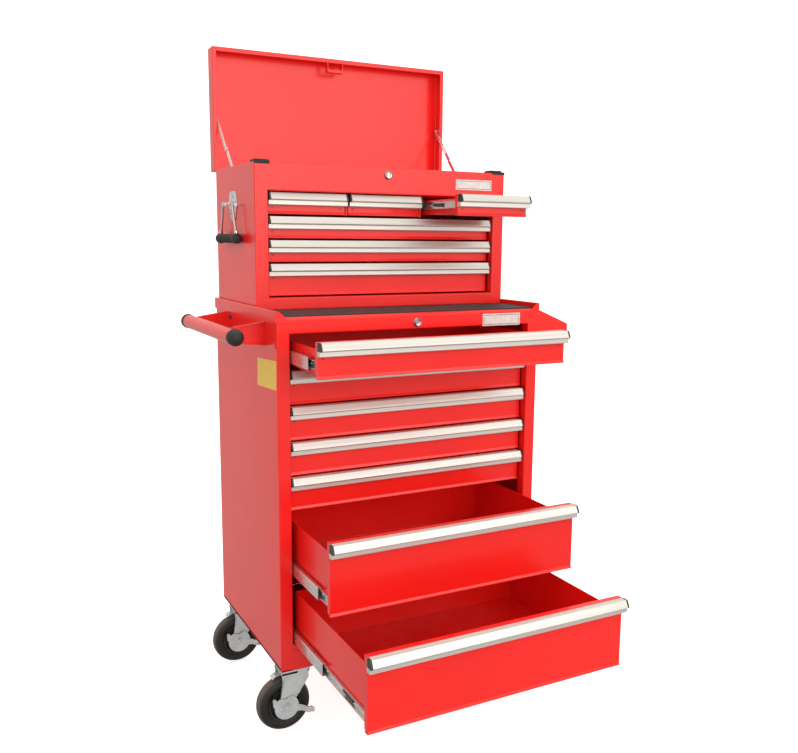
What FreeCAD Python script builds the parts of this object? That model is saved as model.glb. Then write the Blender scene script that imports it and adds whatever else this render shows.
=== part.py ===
import FreeCAD, Part
import math
import os
import re
import Sketcher

# Rolling tool chest: a lidded top chest standing on a roller cabinet.  Millimetres, +Z up.
# While the pieces are drawn, x = 0 is the middle of the width, y = 0 is the plane of the
# cabinet's front posts (+Y goes to the back) and z = 0 is the floor.  At the end every piece
# is shifted by one common amount, which puts the origin at the middle of the whole object's
# box, on the floor.

DIMS = {
    # sheet metal
    "sheet": 1.2,
    "pan_sheet": 1.0,
    "spare": 1,
    # roller cabinet
    "cab_width": 670,
    "cab_depth": 460,
    "cab_base": 165,
    "cab_open_low": 213,
    "cab_open_high": 924.5,
    "cab_post": 29,
    "cab_return": 24,
    "rail_top": 955.5,
    "worktop": 960.5,
    "rim_top": 974,
    "rim_drop": 26,
    "rim_wall": 3,
    "rim_inner": 4,
    "corner_run": 25,
    "seam_drop": 8,
    "nose_run": 5,
    "nose_cut": 1.5,
    "notch_depth": 6.6,
    "notch_width": 40,
    "upright_depth": 20,
    "cab_upright_setback": 60,
    "cab_upright_rise": 30,
    "cab_upright_gap": 5,
    "beam_height": 24,
    "mat_inset": 6,
    "mat_gap": 0.5,
    "mat_thickness": 3,
    # top chest
    "chest_width": 657,
    "chest_front": 152.5,
    "chest_depth": 306,
    "chest_top": 1290.5,
    "chest_open_low": 991,
    "chest_open_high": 1229,
    "chest_post": 31.5,
    "chest_return": 20,
    "chest_upright_setback": 45,
    "chest_hem": 9,
    "divider_rise": 3,
    "bumper_inset": 3,
    "bumper_setback": 7,
    "bumper_width": 34,
    "bumper_depth": 31,
    "bumper_height": 7,
    # lid
    "lid_depth": 301,
    "lid_height": 41,
    "hinge_gap": 3,
    "hinge_drop": 3.5,
    "lid_lip_gap": 4,
    "hinge_radius": 2.6,
    "leaf_inset": 12,
    "leaf_wall": 1,
    "leaf_drop": 26,
    "knuckle_inset": 14,
    "knuckle_pitch": 126,
    "knuckle_length": 62,
    "lid_hem": 8,
    "lid_hem_foot": 20,
    "lid_front_hem": 10,
    "lid_leaf_wall": 1.2,
    "lid_leaf_width": 24,
    "lid_leaf_gap": 0.5,
    "catch_half": 22,
    "catch_wall": 2,
    "catch_reach": 16,
    "catch_drop": 34,
    "catch_bar": 6,
    # drawer fronts and boxes
    "front_recess": 21,
    "front_return": 14,
    "front_gap": 4,
    "small_front_gap": 5,
    "lip_height": 7,
    "lip_flare": 3,
    "cab_front_half": 302,
    "cab_box_half": 292.4,
    "cab_box_depth": 400,
    "chest_front_half": 293,
    "chest_box_half": 283.4,
    "chest_box_depth": 262,
    "small_front_half": 94.5,
    "small_box_half": 84.5,
    "handle_extra": 2,
    "small_pitch": 197.5,
    "row_pitch": 79,
    "row_top": 922.5,
    "deep_front": 154,
    "chest_row_pitch": 53.2,
    "chest_row_top": 1226.5,
    "chest_last_front": 72.9,
    "box_floor_rise": 5,
    "cab_side_drop": 16.5,
    "deep_side_drop": 27,
    "chest_side_drop": 8,
    "chest_last_side_drop": 18,
    # handle extrusion, measured from the front's face and top edge
    "handle_top": 13.5,
    "handle_nose": 21,
    "handle_nose_drop": 14.5,
    "handle_foot": 15,
    "handle_height": 28,
    "handle_wall": 1.6,
    "handle_nose_cut": 1,
    "handle_nose_low": 1.8,
    "handle_chin": 2.6,
    # ball-bearing slides
    "slide_rise": 27,
    "slide_wall": 1.2,
    "slide_outer": 35,
    "slide_middle": 28,
    "slide_inner": 18,
    "slide_outer_depth": 8.5,
    "slide_middle_depth": 8,
    "slide_inner_depth": 7,
    "slide_middle_inset": 2.2,
    "slide_space": 13.6,
    "slide_setback": 16,
    # push handle on the left
    "push_reach": 80,
    "push_top": 947.8,
    "push_low": 893,
    "push_arm_front": 79,
    "push_arm_rear": 352,
    "push_plate_front": 6,
    "push_plate_rear": 425,
    "push_sheet": 2,
    "tube_z": 919,
    "tube_radius": 16.5,
    "tube_wall": 1.8,
    "tube_front": 28,
    "tube_rear": 430,
    "tube_cap": 18,
    # hanging tray on the right
    "tray_reach": 92,
    "tray_length": 400,
    "tray_floor": 876,
    "tray_outer": 44,
    "tray_front": 2,
    "tray_gap": 1,
    "tray_step": 10,
    # bail handles on the chest's sides
    "bail_y": 312,
    "bail_z": 1203,
    "bail_half": 38,
    "bail_foot": 64,
    "bail_drop": 80,
    "bail_wire": 3.2,
    "bail_grip": 12.3,
    "bail_grip_length": 150,
    "bail_standoff": 14,
    "bail_plate_half": 34,
    "bail_plate_top": 30,
    "bail_plate_low": 38,
    "bail_plate_wall": 2,
    "bail_ear": 10,
    "bail_ear_wall": 2,
    "bail_web": 5,
    "bail_pin": 12,
    "bail_grip_round": 0.55,
    "pin_gap": 0.3,
    # casters
    "wheel_radius": 63.5,
    "wheel_width": 38,
    "hub_radius": 40,
    "axle_radius": 5,
    "bearing_gap": 0.06,
    "tyre_chamfer": 2,
    "tyre_side": 9,
    "tyre_shoulder": 3,
    "tyre_crown": 10,
    "hub_proud": 1,
    "hub_boss": 12,
    "hub_boss_foot": 14,
    "hub_web_boss": 8,
    "hub_web": 34,
    "hub_web_rim": 6,
    "hub_rim": 36,
    "hub_rim_inset": 3,
    "caster_x": 278,
    "caster_front": 56,
    "caster_rear": 424,
    "caster_trail": 35,
    "plate_half_x": 48,
    "plate_half_y": 34,
    "plate_wall": 3,
    "plate_bolt_x": 10,
    "plate_bolt_y": 9,
    "plate_bolt_radius": 6,
    "plate_bolt_height": 5,
    "race_taper": 7,
    "riser_half_x": 26,
    "riser_half_y": 24,
    "race_radius": 33,
    "race_low": 151,
    "kingpin_radius": 6,
    "kingpin_drop": 8,
    "kingpin_gap": 0.05,
    "fork_top": 149,
    "fork_gap": 44,
    "fork_wall": 3,
    "fork_half": 34,
    "fork_foot": 15,
    "fork_taper": 6,
    "fork_shoulder": 20,
    "fork_knee": 4,
    "fork_race_inset": 5,
    "fork_race": 1.6,
    "axle_near": 12,
    "axle_far": 10,
    "axle_head_radius": 9,
    "axle_head": 6,
    "shoe_front": 46,
    "shoe_length": 40,
    "shoe_half": 14,
    "shoe_gap": 3,
    "shoe_wall": 2.5,
    "shoe_arm_front": 20,
    "shoe_arm": 14,
    "rocker_radius": 28,
    "rocker_wall": 2.5,
    "pedal_reach": 62,
    "rocker_gap": 1,
    "pedal_arm_low": 12,
    "pedal_arm_height": 17,
    "pedal_arm_end": 14,
    "pedal_tab": 16,
    "pedal_tab_reach": 18,
    "pedal_riser_wall": 4,
    "pedal_riser_height": 10,
    "hook_reach": 4,
    "hook_width": 10,
    "hook_height": 22,
    # locks
    "lock_z_chest": 1273,
    "lock_z_cabinet": 938.7,
    "lock_barrel": 7.5,
    "lock_ring": 10.5,
    "lock_proud": 4,
    "plug_proud": 5,
    "plug_length": 24,
    "groove_outer": 4.2,
    "groove_inner": 2.4,
    "groove_depth": 2,
    "cam_half": 5,
    "cam_setback": 17,
    "cam_drop": 12,
    "cam_wall": 2,
    # lid stays
    "stay_x": 314,
    "stay_wall": 1.6,
    "stay_width": 11,
    "stay_bar": 119.4,
    "stay_gap": 0.4,
    "stay_boss": 4.4,
    "stay_chest_y": 173,
    "stay_chest_drop": 38.5,
    "stay_lid_y": 26.5,
    "stay_lid_rise": 140,
    # how far each open drawer stands out
    "open_cabinet_1": 168,
    "open_cabinet_6": 224,
    "open_cabinet_7": 400,
    "open_chest_small_3": 171,
}

doc = FreeCAD.newDocument("rolling_tool_chest")
sheet = doc.addObject("Spreadsheet::Sheet", "dims")
for row, (alias, number) in enumerate(DIMS.items(), start=1):
    sheet.set(f"A{row}", alias)
    sheet.set(f"B{row}", str(number))
    sheet.setAlias(f"B{row}", alias)
doc.recompute()

TINY = 1e-6
WORD = re.compile(r"[a-z][a-z_0-9]*")
NODES = []
X_AXIS = FreeCAD.Vector(1, 0, 0)
Y_AXIS = FreeCAD.Vector(0, 1, 0)
TURN_TO = {
    "x": FreeCAD.Rotation(Y_AXIS, 90),
    "y": FreeCAD.Rotation(X_AXIS, -90),
    "z": FreeCAD.Rotation(),
}


def expression(text):
    """Names of the sheet's cells in a formula, written out as references to the sheet."""
    return WORD.sub(lambda m: "dims." + m[0] if m[0] in DIMS else m[0], str(text))


def value(text):
    """The number that a formula gives with the sheet's present values."""
    found = sheet.evalExpression(expression(text))
    return float(getattr(found, "Value", found))


def place(piece, low):
    for axis, text in zip("xyz", low):
        piece.setExpression(f".Placement.Base.{axis}", expression(text))


def box(name, low, size):
    """A block, from its low corner and its three sides."""
    piece = doc.addObject("Part::Box", name)
    for side, text in zip(("Length", "Width", "Height"), size):
        piece.setExpression(side, expression(text))
    place(piece, low)
    return piece


def cylinder(name, start, axis, radius, length):
    piece = doc.addObject("Part::Cylinder", name)
    piece.setExpression("Radius", expression(radius))
    piece.setExpression("Height", expression(length))
    piece.Placement = FreeCAD.Placement(FreeCAD.Vector(), TURN_TO[axis])
    place(piece, start)
    return piece


def cone(name, start, axis, radius_low, radius_high, length):
    piece = doc.addObject("Part::Cone", name)
    piece.setExpression("Radius1", expression(radius_low))
    piece.setExpression("Radius2", expression(radius_high))
    piece.setExpression("Height", expression(length))
    piece.Placement = FreeCAD.Placement(FreeCAD.Vector(), TURN_TO[axis])
    place(piece, start)
    return piece


def cut(name, base, tool):
    piece = doc.addObject("Part::Cut", name)
    piece.Base = base
    piece.Tool = tool
    return piece


def fuse(name, *pieces):
    piece = doc.addObject("Part::MultiFuse", name)
    piece.Shapes = list(pieces)
    piece.Refine = True
    return piece


def mirrored(name, source):
    """The same piece on the other side of the object's middle plane."""
    piece = doc.addObject("Part::Mirroring", name)
    piece.Source = source
    piece.Normal = X_AXIS
    return piece


def loop(sketch, points):
    """One closed run of straight edges, each corner held by two dimensions of the sheet."""
    corners = [FreeCAD.Vector(value(u), value(v), 0) for u, v in points]
    first = sketch.GeometryCount
    for start, end in zip(corners, corners[1:] + corners[:1]):
        sketch.addGeometry(Part.LineSegment(start, end), False)
    for step in range(len(points)):
        after = first + (step + 1) % len(points)
        sketch.addConstraint(Sketcher.Constraint("Coincident", first + step, 2, after, 1))
    for step, pair in enumerate(points):
        for kind, text in zip(("DistanceX", "DistanceY"), pair):
            if abs(value(text)) < TINY:
                other = -2 if kind == "DistanceX" else -1
                sketch.addConstraint(Sketcher.Constraint("PointOnObject", first + step, 1, other))
                continue
            held = Sketcher.Constraint(kind, -1, 1, first + step, 1, value(text))
            number = sketch.addConstraint(held)
            sketch.setExpression(f"Constraints[{number}]", expression(text))


def body_with_sketch(name, plane, loops):
    body = doc.addObject("PartDesign::Body", name)
    sketch = body.newObject("Sketcher::SketchObject", name + "_sketch")
    role = {"XY": "XY_Plane", "XZ": "XZ_Plane", "YZ": "YZ_Plane"}[plane]
    origin = next(o for o in body.Origin.OriginFeatures if o.Role == role)
    sketch.AttachmentSupport = (origin, [""])
    sketch.MapMode = "FlatFace"
    for points in loops:
        loop(sketch, points)
    doc.recompute()
    return body, sketch


def padded(name, plane, loops, length, low, both_ways=False):
    """A straight extrusion of a sketch, then moved to its place."""
    body, sketch = body_with_sketch(name, plane, loops)
    pad = body.newObject("PartDesign::Pad", name + "_pad")
    pad.Profile = sketch
    pad.setExpression("Length", expression(length))
    pad.Midplane = both_ways
    place(body, low)
    return body


def revolved(name, loops, low):
    """A turned piece: the sketch lies in the XY plane and turns about its Y axis."""
    body, sketch = body_with_sketch(name, "XY", loops)
    turn = body.newObject("PartDesign::Revolution", name + "_turn")
    turn.Profile = sketch
    turn.ReferenceAxis = (sketch, ["V_Axis"])
    turn.Angle = 360
    place(body, low)
    return body


def node(label, *pieces, forward=0):
    """One named sub-part.  forward is how far it stands out of its shut position."""
    piece = doc.addObject("Part::Compound", label)
    piece.Label = label
    piece.Links = list(pieces)
    NODES.append((piece, forward))
    return piece


# ---------------------------------------------------------------- roller cabinet

def side_with_post(name, half, front, rear, post, turn, low, high):
    """The left side panel, folded round into the front post and back into the post's return."""
    outline = [
        (f"-({half})", rear), (f"-({half})", front),
        (f"{post} - ({half})", front), (f"{post} - ({half})", f"{front} + {turn}"),
        (f"{post} - sheet - ({half})", f"{front} + {turn}"),
        (f"{post} - sheet - ({half})", f"{front} + sheet"),
        (f"sheet - ({half})", f"{front} + sheet"), (f"sheet - ({half})", rear),
    ]
    return padded(name, "XY", [outline], f"{high} - ({low})", ("0", "0", low))


def both_sides(name, left):
    return [left, mirrored(name + "_right", left)]


def upright(name, half, post, front, low, high):
    """A rear upright of U section, which carries the back ends of the slides."""
    length = f"{high} - ({low})"
    outer = box(name + "_outer", (f"sheet - ({half})", front, low),
                (f"{post} - sheet", "upright_depth", length))
    hollow = box(
        name + "_hollow", (f"sheet - ({half})", f"{front} + sheet", f"{low} - spare"),
        (f"{post} - 2 * sheet", "upright_depth - 2 * sheet", f"{length} + 2 * spare"),
    )
    return cut(name, outer, hollow)


def lock_hole(name, front, height):
    return cylinder(f"{name}_lock_hole", ("0", f"{front} - spare", height), "y",
                    "lock_barrel + pin_gap", "sheet + 2 * spare")


def cabinet_frame():
    half = "cab_width / 2"
    rear = "cab_depth - sheet"
    folded = side_with_post("cab_side_sheet", half, "0", rear, "cab_post", "cab_return",
                            "cab_base", "worktop - sheet")
    notch = box("cab_side_notch", (f"-spare - {half}", "-spare", "rail_top - seam_drop"),
                ("notch_width", "notch_depth", "worktop - rail_top + seam_drop + spare"))
    left = cut("cab_side", folded, notch)
    back = box("cab_back", (f"-({half})", rear, "cab_base"),
               ("cab_width", "sheet", "worktop - sheet - cab_base"))
    pan = box("cab_pan", (f"sheet - ({half})", "sheet", "cab_base"),
              ("cab_width - 2 * sheet", f"{rear} - sheet", "sheet"))
    low_skin = box("cab_low_skin", (f"cab_post - ({half})", "0", "cab_base"),
                   ("cab_width - 2 * cab_post", "sheet", "cab_open_low - cab_base"))
    low_flange = box("cab_low_flange", (f"cab_post - ({half})", "0", "cab_open_low - sheet"),
                     ("cab_width - 2 * cab_post", "cab_return", "sheet"))
    high_sheet = box("cab_high_sheet", (f"cab_post - ({half})", "0", "cab_open_high"),
                     ("cab_width - 2 * cab_post", "sheet", "rail_top - seam_drop - cab_open_high"))
    high_skin = cut("cab_high_skin", high_sheet, lock_hole("cab", "0", "lock_z_cabinet"))
    high_flange = box("cab_high_flange", (f"cab_post - ({half})", "0", "cab_open_high"),
                      ("cab_width - 2 * cab_post", "cab_return", "sheet"))
    rear_post = upright("cab_upright", half, "cab_post", "cab_depth - cab_upright_setback",
                        "cab_base + cab_upright_rise", "worktop - sheet - cab_upright_gap")
    beam_outer = box("cab_beam_outer", ("plate_half_x - caster_x - 2 * plate_half_x", "sheet",
                                        "cab_base + sheet"),
                     ("2 * plate_half_x", f"{rear} - sheet", "beam_height"))
    beam_hollow = box("cab_beam_hollow", ("sheet + plate_half_x - caster_x - 2 * plate_half_x",
                                          "0", "cab_base + sheet - spare"),
                      ("2 * plate_half_x - 2 * sheet", "cab_depth",
                       "beam_height + spare - sheet"))
    beam = cut("cab_beam", beam_outer, beam_hollow)
    pieces = [back, pan, fuse("cab_low_rail", low_skin, low_flange),
              fuse("cab_high_rail", high_skin, high_flange)]
    for name, left_piece in (("cab_side", left), ("cab_upright", rear_post), ("cab_beam", beam)):
        pieces += both_sides(name, left_piece)
    node("cabinet_frame", *pieces)


def cabinet_worktop():
    """The top pan, its front edge bent down onto the front rail, with a raised hem round it."""
    half = "cab_width / 2"
    profile = [
        ("0", "rail_top - seam_drop"), ("0", "rail_top"), ("nose_cut", "worktop - nose_cut"),
        ("nose_run", "worktop"),
        ("cab_depth", "worktop"), ("cab_depth", "worktop - sheet"),
        ("nose_run + 0.4 * sheet", "worktop - sheet"),
        ("nose_cut + 0.75 * sheet", "worktop - nose_cut - 0.8 * sheet"),
        ("sheet", "rail_top - 0.5 * sheet"), ("sheet", "rail_top - seam_drop"),
    ]
    pan = padded("top_pan", "YZ", [profile], "cab_width", ("0", "0", "0"), both_ways=True)
    skirt = box("rim_skirt", (f"-rim_wall - {half}", "0", "rim_top - rim_drop"),
                ("rim_wall", "cab_depth + rim_wall", "rim_drop"))
    inner = box("rim_inner_leaf", (f"-({half})", "0", "worktop"),
                ("rim_inner", "cab_depth", "rim_top - worktop"))
    corner = padded(
        "rim_corner", "XZ",
        [[("0", "rail_top - seam_drop"), ("0", "rim_top"), ("rim_inner", "rim_top"),
          ("corner_run", "rail_top"), ("corner_run", "rail_top - seam_drop")]],
        "sheet", (f"-({half})", "0", "0"),
    )
    rim = fuse("rim_left", skirt, inner)
    rear = box("rim_rear", (f"-({half})", "cab_depth", "rim_top - rim_drop"),
               ("cab_width", "rim_wall", "rim_drop"))
    pieces = [pan, rear] + both_sides("rim_left", rim) + both_sides("rim_corner", corner)
    node("cabinet_worktop", *pieces)


# ---------------------------------------------------------------- top chest

def chest_body():
    half = "chest_width / 2"
    low = "worktop + mat_thickness"
    rear = "chest_front + chest_depth - sheet"
    inside = "chest_width - 2 * sheet"
    between = "chest_width - 2 * chest_post"
    left = side_with_post("chest_side", half, "chest_front", rear, "chest_post", "chest_return",
                          low, "chest_top")
    back = box("chest_back", (f"-({half})", rear, low), ("chest_width", "sheet",
                                                          f"chest_top - ({low})"))
    pan = box("chest_pan", (f"sheet - ({half})", "chest_front + sheet", low),
              (inside, "chest_depth - 2 * sheet", "sheet"))
    shelf = box("chest_shelf", (f"sheet - ({half})", "chest_front + chest_return",
                                "chest_open_high"),
                (inside, "chest_depth - chest_return - sheet", "sheet"))
    low_skin = box("chest_low_skin", (f"chest_post - ({half})", "chest_front", low),
                   (between, "sheet", f"chest_open_low - ({low})"))
    low_flange = box("chest_low_flange", (f"chest_post - ({half})", "chest_front",
                                          "chest_open_low - sheet"),
                     (between, "chest_return", "sheet"))
    high_sheet = box("chest_high_sheet", (f"chest_post - ({half})", "chest_front",
                                          "chest_open_high"),
                     (between, "sheet", "chest_top - chest_open_high"))
    high_skin = cut("chest_high_skin", high_sheet,
                    lock_hole("chest", "chest_front", "lock_z_chest"))
    high_flange = box("chest_high_flange", (f"chest_post - ({half})", "chest_front",
                                            "chest_open_high"),
                      (between, "chest_return", "sheet"))
    high_hem = box("chest_high_hem", (f"chest_post - ({half})", "chest_front",
                                      "chest_top - sheet"), (between, "chest_hem", "sheet"))
    rear_post = upright("chest_upright", half, "chest_post",
                        "chest_front + chest_depth - chest_upright_setback",
                        f"{low} + sheet", "chest_open_high")
    divider = box("chest_divider", ("-(small_pitch / 2) - sheet / 2",
                                    "chest_front + chest_return + front_gap",
                                    "chest_row_top - chest_row_pitch + divider_rise"),
                  ("sheet", "chest_depth - chest_return - front_gap - sheet",
                   "chest_open_high - chest_row_top + chest_row_pitch - divider_rise"))
    pieces = [back, pan, shelf, fuse("chest_low_rail", low_skin, low_flange),
              fuse("chest_lintel", high_skin, high_flange, high_hem)]
    for name, left_piece in (("chest_side", left), ("chest_upright", rear_post),
                             ("chest_divider", divider)):
        pieces += both_sides(name, left_piece)
    node("chest_body", *pieces)


def hinge_y():
    return "chest_front + chest_depth + hinge_gap"


def hinge_z():
    return "chest_top - hinge_drop"


def bail_plate(side):
    """A zinc plate with two rolled ears that hold the bail's wire."""
    wall = f"{side} * chest_width / 2"
    pivot = f"{wall} + {side} * bail_standoff"
    name = "bail_plate_left" if side < 0 else "bail_plate_right"
    plate = box(name + "_sheet",
                (wall if side > 0 else f"{wall} - bail_plate_wall", "bail_y - bail_plate_half",
                 "bail_z - bail_plate_low"),
                ("bail_plate_wall", "2 * bail_plate_half", "bail_plate_low + bail_plate_top"))
    parts = [plate]
    for end, start in (("front", "bail_y - bail_plate_half"),
                       ("rear", "bail_y + bail_plate_half - bail_ear")):
        ear = cylinder(f"{name}_{end}_ear", (pivot, start, "bail_z"), "y",
                       "bail_wire + pin_gap + bail_ear_wall", "bail_ear")
        web_low = wall if side > 0 else pivot
        web = box(f"{name}_{end}_web", (web_low, start, "bail_z - bail_web / 2"),
                  ("bail_standoff", "bail_ear", "bail_web"))
        parts += [ear, web]
    whole = fuse(name + "_whole", *parts)
    bore = cylinder(name + "_bore", (pivot, "bail_y - bail_half", "bail_z"), "y",
                    "bail_wire + pin_gap", "2 * bail_half")
    return cut(name, whole, bore)


def chest_fittings():
    leaf = box("hinge_leaf", ("-chest_width / 2 + leaf_inset", "chest_front + chest_depth",
                              "chest_top - leaf_drop"),
               ("chest_width - 2 * leaf_inset", "leaf_wall", "leaf_drop - hinge_drop"))
    knuckles = []
    for number in range(5):
        knuckles.append(cylinder(
            f"hinge_knuckle_{number + 1}",
            (f"-chest_width / 2 + knuckle_inset + {number} * knuckle_pitch", hinge_y(), hinge_z()),
            "x", "hinge_radius", "knuckle_length"))
    housings = []
    for place_name, front, height in (("chest", "chest_front", "lock_z_chest"),
                                      ("cabinet", "0", "lock_z_cabinet")):
        ring = cylinder(f"lock_{place_name}_ring", ("0", f"{front} - lock_proud", height), "y",
                        "lock_ring", "lock_proud")
        hole = cylinder(f"lock_{place_name}_hole", ("0", f"{front} - lock_proud - spare", height), "y",
                        "lock_barrel + pin_gap", "lock_proud + 2 * spare")
        housings.append(cut(f"lock_{place_name}_housing", ring, hole))
    node("chest_fittings", leaf, *knuckles, bail_plate(-1), bail_plate(1), *housings)


def lid():
    """A shallow tray, drawn standing open behind its hinge."""
    half = "chest_width / 2"
    mouth = f"{hinge_y()} + lid_lip_gap"
    low = f"{hinge_z()} + hinge_gap / 2"
    outer = box("lid_outer", (f"-({half})", mouth, low), ("chest_width", "lid_height", "lid_depth"))
    hollow = box("lid_hollow", (f"sheet - ({half})", f"{mouth} - spare", f"{low} + sheet"),
                 ("chest_width - 2 * sheet", "lid_height + spare - sheet", "lid_depth - 2 * sheet"))
    shell = cut("lid_shell", outer, hollow)
    hem = box("lid_hem", (f"sheet - ({half})", mouth, f"{low} + lid_hem_foot"),
              ("lid_hem", "sheet", "lid_depth - lid_hem_foot - sheet"))
    front_hem = box("lid_front_hem", (f"sheet - ({half})", mouth,
                                      f"{low} + lid_depth - lid_front_hem"),
                    ("chest_width - 2 * sheet", "sheet", "lid_front_hem - sheet"))
    catch_low = f"{low} + lid_depth - catch_drop"
    catch = box("lid_catch", ("-catch_half", mouth, catch_low),
                ("catch_wall", "catch_reach", "catch_drop - sheet"))
    catch_bar = box("lid_catch_bar", ("-catch_half", mouth, catch_low),
                    ("2 * catch_half", "catch_wall", "catch_bar"))
    leaf = box("lid_leaf", (f"leaf_inset - ({half})", f"{hinge_y()} + hinge_radius + lid_leaf_gap",
                            f"{low} - lid_leaf_wall"),
               ("chest_width - 2 * leaf_inset", "lid_leaf_width", "lid_leaf_wall"))
    hem_right = mirrored("lid_hem_right", hem)
    catch_right = mirrored("lid_catch_right", catch)
    whole = fuse("lid_whole", shell, hem, hem_right, front_hem, catch, catch_right, catch_bar, leaf)
    node("lid", whole)


def rubber_parts():
    mat = box("mat", ("rim_inner + mat_gap - cab_width / 2", "mat_inset", "worktop"),
              ("cab_width - 2 * rim_inner - 2 * mat_gap", "cab_depth - mat_inset - rim_wall",
               "mat_thickness"))
    half = "chest_width / 2"
    cap = box("bumper", (f"bumper_inset - ({half})", "chest_front + bumper_setback", "chest_top"),
              ("bumper_width", "bumper_depth", "bumper_height"))
    pieces = [mat] + both_sides("bumper", cap)
    for end, start, turn in (("front", "tube_front", -1), ("rear", "tube_rear", 1)):
        centre = ("-cab_width / 2 - push_reach", start, "tube_z")
        ball = doc.addObject("Part::Sphere", f"tube_cap_{end}_ball")
        ball.setExpression("Radius", expression("tube_cap"))
        place(ball, centre)
        corner = (f"{centre[0]} - 2 * tube_cap",
                  f"{start} - 4 * tube_cap" if turn > 0 else start, "tube_z - 2 * tube_cap")
        away = box(f"tube_cap_{end}_away", corner, ("4 * tube_cap",) * 3)
        pieces.append(cut(f"tube_cap_{end}", ball, away))
    node("rubber_parts", *pieces)


# ---------------------------------------------------------------- push handle and side tray

def push_handle():
    wall = "-cab_width / 2"
    centre = f"{wall} - push_reach"
    tube = cylinder("push_tube", (centre, "tube_front", "tube_z"), "y", "tube_radius",
                    "tube_rear - tube_front")
    plate = box("push_plate", (f"{wall} - push_sheet", "push_plate_front", "push_low"),
                ("push_sheet", "push_plate_rear - push_plate_front", "push_top - push_low"))
    pieces = [tube, plate]
    arm_outline = [
        ("0", "push_low"), ("0", "push_top"),
        ("-push_reach", "tube_z + tube_radius"), ("-push_reach", "tube_z - tube_radius"),
    ]
    for end in ("front", "rear"):
        pieces.append(padded(f"push_arm_{end}", "XZ", [arm_outline], "push_sheet",
                             (wall, f"push_arm_{end} + push_sheet", "0")))
    welded = fuse("push_welded", *pieces)
    hollow = cylinder("push_hollow", (centre, "tube_front - spare", "tube_z"), "y",
                      "tube_radius - tube_wall", "tube_rear - tube_front + 2 * spare")
    node("push_handle", cut("push_frame", welded, hollow))


def side_tray():
    wall = "cab_width / 2"
    rise = "rim_top - rim_drop - tray_gap"
    end_outline = [
        ("0", "tray_floor"), ("0", rise), ("rim_wall + tray_gap / 2", rise),
        ("rim_wall + tray_gap / 2", f"{rise} + tray_step"), ("tray_reach", "tray_floor + tray_outer"),
        ("tray_reach", "tray_floor"),
    ]
    pieces = [
        box("tray_back_wall", (wall, "tray_front", "tray_floor"),
            ("sheet", "tray_length", f"{rise} - tray_floor")),
        box("tray_floor_sheet", (wall, "tray_front", "tray_floor"), ("tray_reach", "tray_length", "sheet")),
        box("tray_outer_wall", (f"{wall} + tray_reach - sheet", "tray_front", "tray_floor"),
            ("sheet", "tray_length", "tray_outer")),
    ]
    for end, start in (("front", "tray_front + sheet"), ("rear", "tray_front + tray_length")):
        pieces.append(padded(f"tray_{end}_wall", "XZ", [end_outline], "sheet", (wall, start, "0")))
    node("side_tray", fuse("tray_welded", *pieces))


# ---------------------------------------------------------------- drawers and slides

def channel(name, web_x, open_to, middle_z, height, depth, start_y, length):
    """A slide member: a thin C section along Y whose web is at web_x and which opens to +X or -X."""
    low_x = web_x if open_to > 0 else f"{web_x} - ({depth})"
    outer = box(name + "_outer", (low_x, start_y, f"{middle_z} - ({height}) / 2"),
                (depth, length, height))
    hollow_x = f"{low_x} + slide_wall" if open_to > 0 else low_x
    hollow = box(name + "_hollow", (hollow_x, f"{start_y} - spare",
                                    f"{middle_z} - ({height}) / 2 + slide_wall"),
                 (f"{depth} - slide_wall", f"{length} + 2 * spare", f"{height} - 2 * slide_wall"))
    return cut(name, outer, hollow)


OUTER_MEMBERS = []


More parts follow.
